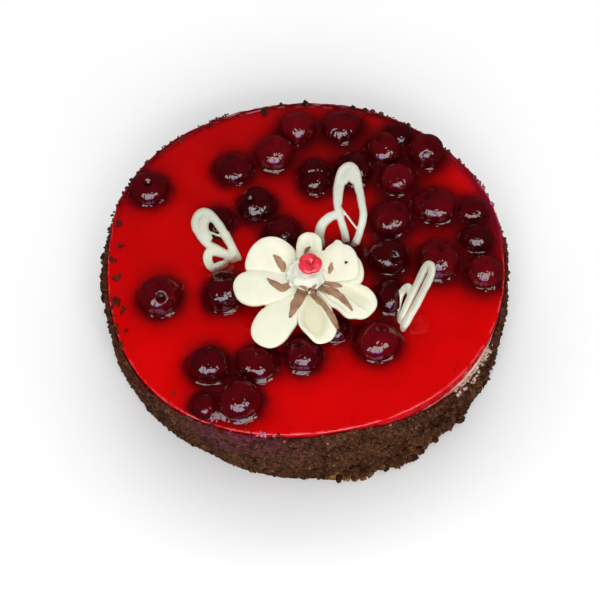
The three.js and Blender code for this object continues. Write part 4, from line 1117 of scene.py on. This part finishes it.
PETAL_LOOK = {
    "petal_1": [({}, dict(wave=0.4, seed=1, relief=dish(0.55), order=2.35))],
    "petal_2": [(dict(q=PETALS["petal_2"]["q"] - 0.10), dict(wave=0.3, seed=2, relief=dish(0.4), order=2.4,
                          outline=lambda s, c: 1 - 0.035 * gauss(s, 0.62, 0.05) * (c > 0) - 0.10 * smooth(0.55, 0.1, s) * (c < 0)))],
    "petal_3": [(dict(w=PETALS["petal_3"]["w"] * 0.95), dict(wave=0.3, seed=3, relief=lambda s, c: dish(0.35)(s, c) - 0.5 * gauss(c, 0.25, 0.12) * soft_box(s, 0.1, 0.45, 0.1), order=2.5,
                          outline=lambda s, c: 1 - 0.09 * gauss(s, 0.50, 0.022) * (c < 0) - 0.02 * (s > 0.5) * (c < 0) - 0.06 * smooth(0.5, 0.7, s) * (c > 0)))],
    "petal_4": [({}, dict(wave=0.22, seed=4, relief=hollow_d, order=2.15,
                          outline=lambda s, c: 1 - 0.30 * smooth(0.62, 0.92, s) * smooth(0.2, -0.7, c) + 0.06 * smooth(0.6, 0.85, s) * (c > 0)))],
    "petal_5": [({}, dict(wave=0.3, seed=5, relief=folds_e, order=2.5, ragged=0.35,
                          outline=lambda s, c: 1 + 0.04 * np.sin(s * 19) * (c < 0) - 0.06 * gauss(s, 0.87, 0.035) * (c < 0)))],
    "petal_6": [(dict(b=(28.6, -11.9, 57.4), w=12.0), dict(wave=0.4, seed=6, relief=dish(0.35), order=2.9, ragged=0.5,
                          outline=lambda s, c: 1 - 0.20 * smooth(0.74, 0.80, s) * (c > 0) + 0.07 * gauss(s, 0.66, 0.06) * (c > 0) - 0.09 * gauss(s, 0.34, 0.035) * (c > 0))),
                (dict(a=(11.0, -19.2, 49.8), b=(31.4, -15.6, 54.0), w=10.4, q=0.1, roll=4, bow=0.0), dict(wave=0.3, seed=8, order=2.6, ragged=0.4))],
    "petal_7": [({}, dict(wave=0.3, seed=7, relief=folds_g, order=2.7, ragged=0.5))],
}
petal_parts = {}
for k, d in PETALS.items():
    parts, sunk = [], []
    for change, look in PETAL_LOOK[k]:
        v, f, low = petal_shape({**d, **change}, **look)
        parts.append((v, f))
        sunk.append(low)
    v, f = merged(parts)
    petal_parts[k] = (v, f)
    piece("cream_" + k, v, f, M_FLOWER, [k], paint={"tint": flower_paint(v, normals(v, f), np.concatenate(sunk))})


def rosette_shape():
    """a stem and a crown of small ruffled lobes, fused into one"""
    x, y = ROSETTE["x"], ROSETTE["y"]
    parts = []
    prof = [(4.6, TOP + GAP), (4.9, 46.5), (5.2, 50.0), (8.4, 51.2), (9.6, 53.2), (8.4, 56.2), (6.2, 58.4), (3.0, 58.9)]
    t = np.arange(48) * 2 * np.pi / 48
    parts.append(spindle([polar(t, r + 0 * t, z + 0 * t) + (x, y, 0) for r, z in prof], (x, y, prof[0][1]), (x, y, prof[-1][1])))
    bv, bf = ico(3)
    rg = np.random.default_rng(17)

    def blob(cx, cy, cz, a, b, c, turn, tilt=0.0):
        p = bv * (a, b, c)
        ct, st = math.cos(tilt), math.sin(tilt)
        p = np.stack([p[:, 0] * ct + p[:, 2] * st, p[:, 1], -p[:, 0] * st + p[:, 2] * ct], 1)
        ct, st = math.cos(turn), math.sin(turn)
        p = np.stack([p[:, 0] * ct - p[:, 1] * st, p[:, 0] * st + p[:, 1] * ct, p[:, 2]], 1)
        parts.append(outward(p + (x + cx, y + cy, cz), [bf]))
    for cx, cy, cz, a, b, c, turn, tilt in (
            (-0.4, -0.6, 55.6, 6.9, 6.3, 3.4, 0.0, 0.0), (-3.6, -4.4, 55.3, 4.6, 3.7, 3.0, 0.3, 0.0), (0.4, -6.0, 54.4, 3.9, 3.2, 2.9, 0.0, 0.0),
            (1.0, -9.0, 52.8, 1.4, 2.1, 1.5, 0.1, 0.0), (4.3, -4.9, 54.4, 3.0, 2.8, 2.7, 0.5, 0.0), (4.7, -7.0, 53.0, 1.4, 1.6, 1.3, 0.2, 0.0),
            (-7.4, -2.0, 54.7, 3.4, 2.1, 1.5, 0.15, -0.2), (-8.6, 1.0, 54.9, 3.4, 1.8, 1.3, -0.1, -0.2), (-7.6, 4.0, 55.0, 3.2, 1.9, 1.4, -0.5, -0.2),
            (-8.0, -4.9, 53.6, 2.9, 1.5, 1.2, 0.5, -0.2), (-9.8, -1.0, 53.4, 2.6, 1.4, 1.1, 0.1, -0.2), (7.0, -2.2, 54.2, 3.2, 2.0, 1.7, -0.3, -0.2),
            (8.3, 0.6, 54.4, 2.9, 1.6, 1.4, 0.1, -0.2), (7.4, 3.8, 54.8, 3.0, 1.8, 1.5, 0.5, -0.2), (8.6, -4.0, 53.2, 1.8, 1.3, 1.1, -0.4, -0.2),
            (-4.6, 6.6, 55.2, 2.9, 1.9, 1.5, 2.1, -0.2), (-0.6, 7.9, 55.0, 2.8, 1.9, 1.5, 1.6, -0.2), (3.6, 7.0, 55.2, 2.9, 1.8, 1.5, 1.1, -0.2),
            (-2.8, 3.4, 57.6, 3.4, 2.4, 1.6, 0.6, 0.0), (3.0, 2.8, 57.4, 3.2, 2.6, 1.6, -0.6, 0.0), (0.2, -2.4, 57.8, 4.2, 2.6, 1.5, 0.0, 0.0)):
        if cx * cx + cy * cy > 45:
            cx, cy, a, b = cx * 0.93, cy * 0.93, a * 0.9, b * 1.4
        blob(cx, cy, cz, a, b, c, turn, tilt)
    v, f = merged(parts)
    v, f = fused(v, f, 0.38, 4)
    v = v + normals(v, f) * (0.22 * noise(v, 3.4, 340) + 0.10 * noise(v, 1.7, 342))[:, None]
    v[:, 2] = np.clip(v[:, 2], TOP + 0.1, 75)
    return v, f


v, f = rosette_shape()
piece("cream_rosette", v, f, M_FLOWER, ["rosette"], paint={"tint": flower_paint(v, normals(v, f), None, (236, 238, 222), (178, 184, 158))})


def dot_shape():
    """three curled lobes of jam round a small dip"""
    x, y, r, z0, h = DOT["x"], DOT["y"], DOT["r"], DOT["z0"], DOT["h"]
    bv, bf = ico(3)
    parts = [outward(bv * (r * 0.93, r * 0.93, 2.3) + (x, y, z0 + 2.25), [bf])]
    centres = []
    for i, (deg, k, a, b, c, zc) in enumerate(((112, 2.9, 3.6, 5.0, 2.4, 3.15), (-18, 3.1, 3.3, 5.0, 2.4, 3.0), (226, 3.1, 3.4, 5.0, 2.3, 2.8))):
        q = math.radians(deg)
        cx, cy = x + k * math.cos(q), y + k * math.sin(q)
        p = bv * (a, b, c)
        p = np.stack([p[:, 0] * math.cos(q) - p[:, 1] * math.sin(q), p[:, 0] * math.sin(q) + p[:, 1] * math.cos(q), p[:, 2]], 1)
        parts.append(outward(p + (cx, cy, z0 + zc), [bf]))
        centres.append((cx, cy))
    v, f = merged(parts)
    v, f = fused(v, f, 0.24, 3)
    v[:, 2] -= 1.5 * np.exp(-((v[:, 0] - x - 0.3) ** 2 + (v[:, 1] - y + 0.2) ** 2) / 1.5 ** 2) * (v[:, 2] > z0 + 3)
    v = v + normals(v, f) * (0.10 * noise(v, 2.2, 350))[:, None]
    v[:, 2] = np.maximum(v[:, 2], z0)
    d = np.stack([np.hypot(v[:, 0] - a, v[:, 1] - b) for a, b in centres], 1)
    d.sort(axis=1)
    # painted shade: darker in the creases between lobes, in the middle dip and where the surface turns down
    crease_shade = 0.7 * np.exp(-((d[:, 1] - d[:, 0]) / 0.8) ** 2) * (v[:, 2] > z0 + 2.5)
    crease_shade = np.maximum(crease_shade, np.exp(-((v[:, 0] - x - 0.3) ** 2 + (v[:, 1] - y + 0.2) ** 2) / 1.5 ** 2))
    n = normals(v, f)
    col = linear((240, 46, 66)) + (linear((168, 2, 22)) - linear((240, 46, 66))) * np.clip(0.75 * crease_shade + 0.5 * smooth(0.5, -0.2, n[:, 2]), 0, 1)[:, None]
    col = col + (linear((250, 120, 130)) - col) * (0.5 * np.clip(noise(v, 2.6, 351), 0, 1))[:, None]
    return v, f, col


v, f, col = dot_shape()
piece("jam_drop", v, f, M_DOT, ["jam_dot"], paint={"tint": col})


# -------------------------------------------------------- filigree loops
def strand(points, wide, thick, across, normal, steps, ends=0.8, seed=0):
    line = catmull(points, steps)
    tan = np.gradient(line, axis=0)
    tan /= np.linalg.norm(tan, axis=1)[:, None]
    side = np.cross(tan, normal)
    side /= np.linalg.norm(side, axis=1)[:, None]
    f = 2 * np.pi * np.arange(20) / 20
    w = 1 + 0.10 * noise(line, 7, 400 + seed) + 0.07 * noise(line, 3, 401 + seed)
    s = np.linspace(0, 1, steps)
    cap = np.sqrt(np.clip(1 - (1 - np.clip(np.minimum(s, 1 - s) / 0.02, 0, 1)) ** 2, 0, 1)) * (1 - ends) + ends
    w = w * cap
    c, q = np.cos(f), np.sin(f)
    c = np.sign(c) * np.abs(c) ** 0.72
    q = np.sign(q) * np.abs(q) ** 0.62
    P = line[:, None] + side[:, None] * (c[None, :, None] * (wide / 2 * w)[:, None, None]) + normal * (q[None, :, None] * (thick / 2 * (0.6 + 0.4 * w))[:, None, None])
    return spindle(P, line[0] - tan[0] * wide * 0.2, line[-1] + tan[-1] * wide * 0.2)


# one tone per loop; the left loop's darker tone is painted shade
LACES["lace_left"].update(wide=LACES["lace_left"]["wide"] * 0.86, fat=1.12, fill=[[(-4.6, 27.0), (-3.4, 29.6), (-2.2, 31.0)]], tone=(186, 188, 166))
LACES["lace_back"].update(wide=LACES["lace_back"]["wide"] * 0.82, fat=1.30, fill=[[(-2.6, 37.6), (-1.0, 39.6), (0.4, 37.6)], [(-3.4, 37.0), (-5.0, 33.0), (-6.1, 27.6), (-6.6, 22.0)], [(0.4, 36.4), (2.3, 32.6), (3.6, 28.0)]], tone=(197, 199, 181))
LACES["lace_right"].update(wide=LACES["lace_right"]["wide"] * 0.80, fat=1.0, fill=[], tone=(208, 210, 190))


def lace_shape(d, seed):
    axis, across, normal = lace_axes(d)
    foot = np.array(d["foot"])
    at = lambda pts: [foot + across * p[0] + axis * p[1] + normal * (p[2] if len(p) > 2 else 0.0) for p in pts]
    parts = [strand(at(d["big"]), d["wide"], d["thick"], across, normal, 120, seed=seed),
             strand(at(d["small"]), d["wide"] * d["fat"], d["thick"] * 0.94, across, normal, 60, seed=seed + 3)]
    if d["brace"]:
        parts.append(strand(at(d["brace"]), 1.25, 1.2, across, normal, 30, ends=1.0, seed=seed + 6))
    if d["crown"]:
        parts.append(strand(at(d["crown"]), d["wide"], d["thick"] * 0.96, across, normal, 40, seed=seed + 8))
    for q in d["fill"]:
        parts.append(strand(at(q), d["wide"] * 0.68, d["thick"] * 0.84, across, normal, 24, seed=seed + 9))
    v, f = merged(parts)
    v, f = fused(v, f, 0.44, 2)
    v = v + normals(v, f) * (0.07 * noise(v, 3.2, 410 + seed))[:, None]
    base = linear(d["tone"])
    col = np.tile(base, (len(v), 1)) * (1 + 0.05 * noise(v, 8, 420 + seed) + 0.03 * noise(v, 2.6, 421 + seed))[:, None]
    n = normals(v, f)
    # painted shade: a little darker where the surface turns down
    col = col * (0.93 + 0.07 * smooth(-0.5, 0.6, n[:, 2]))[:, None]
    # painted light: the lower parts lightened, up to a cap
    col = np.minimum(col * (1 + 0.38 * smooth(TOP + 22, TOP + 5, v[:, 2]))[:, None], 0.86)
    low = smooth(TOP + 3.6, TOP + 0.6, v[:, 2] + 1.2 * noise(v, 3, 430))
    col = col + (linear((170, 40, 40)) - col) * (0.75 * low)[:, None]
    return v, f, np.clip(col, 0, 1)


for i, (k, d) in enumerate(LACES.items()):
    v, f, col = lace_shape(d, i * 10)
    piece("filigree_" + k[5:], v, f, M_LACE, [k], paint={"tint": col})


# ------------------------------------------------------ chocolate streaks
fv, ff = merged([petal_parts[k] for k in PETALS])
tree = BVHTree.FromPolygons([Vector(p) for p in fv], [tuple(int(i) for i in q) for a in ff for q in a])
VIEW = Vector((0, 0.538, -0.843)).normalized()

hit = tree.ray_cast(Vector((22.3, -13.7, 55.5)) - VIEW * 40, VIEW)[0]
if hit is not None:
    at = np.array(hit)
    grains("crumb_speck", np.array([at, at + (0.5, 0.2, 0)]), np.array([0.75, 0.5]), 2, 217, np.tile(linear((52, 38, 34)), (2, 1)), jag=0.4)

# middle line in the plane at 55.5 mm, as the front shows it, and full width along it
STREAKS = [
    ([(-16.6, -7.4), (-14.2, -10.2), (-12.0, -14.4), (-11.4, -18.6)], [1.2, 4.0, 4.6, 2.0]),
    ([(-20.2, -22.4), (-15.6, -26.4), (-11.4, -28.6), (-6.4, -25.4)], [0.8, 3.8, 5.0, 2.4]),
    ([(-0.4, -26.0), (-2.0, -31.6), (-4.2, -37.6), (-8.4, -47.6)], [3.0, 6.4, 5.4, 1.2]),
    ([(2.4, -30.4), (5.0, -34.8), (10.3, -41.2), (13.6, -47.4), (16.6, -55.0)], [3.2, 3.6, 3.0, 4.0, 1.6]),
    ([(3.6, -28.8), (9.4, -29.8), (16.3, -33.2), (20.6, -37.8), (24.6, -44.2)], [2.4, 4.4, 4.8, 3.4, 1.0]),
    ([(9.6, -25.6), (14.0, -27.2), (19.8, -28.8)], [1.6, 4.0, 1.2]),
    ([(0.4, -7.4), (1.6, -4.4), (3.6, -2.8)], [1.4, 2.4, 0.8]),
    ([(13.0, -20.6), (14.0, -17.2), (14.6, -13.4)], [1.2, 3.0, 0.8]),
]


def streak(line, widths, seed, rows=46, cols=13):
    mid = catmull([(x, y, 0) for x, y in line], rows)[:, :2]
    wid = catmull([(w, 0, 0) for w in widths], rows)[:, 0]
    at = np.linspace(0, 1, rows)
    wid = np.interp(at, np.linspace(0, 1, len(widths)), widths)
    tan = np.gradient(mid, axis=0)
    tan /= np.linalg.norm(tan, axis=1)[:, None]
    nor = np.stack([-tan[:, 1], tan[:, 0]], 1)
    q = np.linspace(-1, 1, cols)
    p3 = np.c_[mid, np.full(rows, seed * 7.0)]
    wl = wid / 2 * (1 + 0.22 * noise(p3, 2.6, 500 + seed))
    wr = wid / 2 * (1 + 0.22 * noise(p3, 2.6, 520 + seed))
    top, base = [], []
    lie = np.zeros((rows, cols, 3))
    for i in range(rows):
        for j in range(cols):
            w = wl[i] if q[j] < 0 else wr[i]
            x, y = mid[i] + nor[i] * q[j] * w
            o = Vector((x, y, 55.5)) - VIEW * 40
            hit = tree.ray_cast(o, VIEW)
            lie[i, j] = hit[0] if hit[0] is not None else (Vector((x, y, 55.5)))
    # keep it from dropping into the gaps between petals
    z = lie[..., 2].copy()
    for _ in range(3):
        zs = z.copy()
        zs[1:-1] = np.maximum(z[1:-1], (z[:-2] + z[2:]) / 2)
        zs[:, 1:-1] = np.maximum(zs[:, 1:-1], (zs[:, :-2] + zs[:, 2:]) / 2)
        z = zs
    lie[..., 2] = z
    thick = 0.75 * np.sqrt(np.clip(1 - q ** 2, 0, 1))[None, :] * np.sqrt(np.clip(np.minimum(at, 1 - at) / 0.12, 0.0, 1))[:, None]
    topv = lie + np.array([0, -0.25, 0.95]) * (thick + 0.05)[..., None]
    botv = lie - np.array([0, -0.25, 0.95]) * 0.55
    # closed: sections go over the top and back underneath
    sec = np.concatenate([topv, botv[:, ::-1]], 1)
    return spindle(sec, sec[0].mean(0), sec[-1].mean(0))


for i, (line, widths) in enumerate(STREAKS):
    v, f = streak(line, widths, i)
    base, deep = linear((182, 142, 110)), linear((134, 92, 64))
    col = base + (deep - base) * np.clip(0.45 + 0.6 * noise(v, 4.5, 540 + i), 0, 1)[:, None]
    piece("chocolate_streak_%d" % (i + 1), v, f, M_MILK, paint={"tint": col})


# ----------------------------------------------- camera, floor and light
def view_camera():
    el, tx, ty, roll, f = 0.969885857, -0.0257717303, -0.255311112, -0.0323833171, 1297.81056
    d = 6.5
    C = np.array([0, -d * math.cos(el), d * math.sin(el)])
    T = np.array([tx, ty, 0])
    fwd = T - C
    fwd /= np.linalg.norm(fwd)
    right = np.cross(fwd, (0, 0, 1))
    right /= np.linalg.norm(right)
    up = np.cross(right, fwd)
    c, s = math.cos(roll), math.sin(roll)
    r2, u2 = c * right + s * up, -s * right + c * up
    loc = (C * RIM + (0, 0, TOP) + SHIFT) * 0.001
    cam = bpy.data.cameras.new("camera")
    cam.sensor_width = 36.0
    cam.lens = f * 36.0 / 600.0
    cam.clip_start, cam.clip_end = 0.01, 50
    ob = bpy.data.objects.new("camera", cam)
    bpy.context.scene.collection.objects.link(ob)
    m = Matrix.Identity(4)
    for i in range(3):
        m[i][0], m[i][1], m[i][2], m[i][3] = r2[i], u2[i], -fwd[i], loc[i]
    ob.matrix_world = m
    bpy.context.scene.camera = ob


view_camera()

M_FLOOR = material("pale_floor", rough=0.75, base=(0.97, 0.97, 0.97), Specular_IOR_Level=0.15)
me = bpy.data.meshes.new("floor")
s = 6.0
me.from_pydata([(-s, -s, 0), (s, -s, 0), (s, s, 0), (-s, s, 0)], [], [(0, 1, 2, 3)])
me.materials.append(M_FLOOR)
floor = bpy.data.objects.new("floor", me)
bpy.context.scene.collection.objects.link(floor)
floor.location.z = -0.0002
floor.visible_glossy = False


def panel(name, azimuth, elevation, distance, wide, high, power, colour=(1, 1, 1), glossy=True):
    """soft light facing the cake; azimuth 0 is the front, 90 the right"""
    a, e = math.radians(azimuth), math.radians(elevation)
    back = Vector((math.sin(a) * math.cos(e), -math.cos(a) * math.cos(e), math.sin(e)))
    li = bpy.data.lights.new(name, "AREA")
    li.shape, li.size, li.size_y = "RECTANGLE", wide, high
    li.energy, li.color = power, colour
    ob = bpy.data.objects.new(name, li)
    bpy.context.scene.collection.objects.link(ob)
    ob.location = back * distance + Vector((0, 0, 0.04))
    ob.rotation_mode = "QUATERNION"
    ob.rotation_quaternion = back.to_track_quat("Z", "Y")
    ob.visible_glossy = glossy
    return ob


panel("window_a", -13, 32, 1.6, 0.70, 0.90, 11.6)
panel("window_b", 17, 31, 1.6, 0.66, 0.84, 10.7)
violet = panel("violet", 3, 14, 1.6, 0.95, 0.30, 7.0, (0.36, 0.28, 1.0))
violet.visible_diffuse = False
for side_name, az, el, w, h, power in (("glint_left", -42, 30, 0.34, 0.80, 5.0), ("glint_right", 45, 34, 0.42, 0.60, 4.8), ("glint_high", 24, 60, 0.30, 0.22, 1.3)):
    panel(side_name, az, el, 1.6, w, h, power).visible_diffuse = False
panel("sky", 180, 72, 1.9, 2.8, 2.2, 15.4, glossy=False)
panel("fill_left", -110, 35, 1.8, 1.2, 1.0, 3.6, glossy=False)
panel("fill_right", 110, 35, 1.8, 1.2, 1.0, 3.6, glossy=False)
panel("fill_back", 180, 34, 1.8, 2.4, 1.0, 7.5, glossy=False)

back = panel("backdrop", 180, 60, 1.8, 2.6, 0.9, 8.0, glossy=False)
back.location, back.rotation_quaternion = (0, 1.15, 1.0), (1, 0, 0, 0)

world = bpy.data.worlds.new("studio")
bpy.context.scene.world = world
world.use_nodes = True
bg = world.node_tree.nodes["Background"]
bg.inputs["Color"].default_value = (0.9, 0.93, 1.0, 1)
bg.inputs["Strength"].default_value = 0.045

scene = bpy.context.scene
scene.view_settings.view_transform = "Standard"
scene.view_settings.look = "None"
scene.view_settings.exposure = 0.0
scene.view_settings.gamma = 1.0
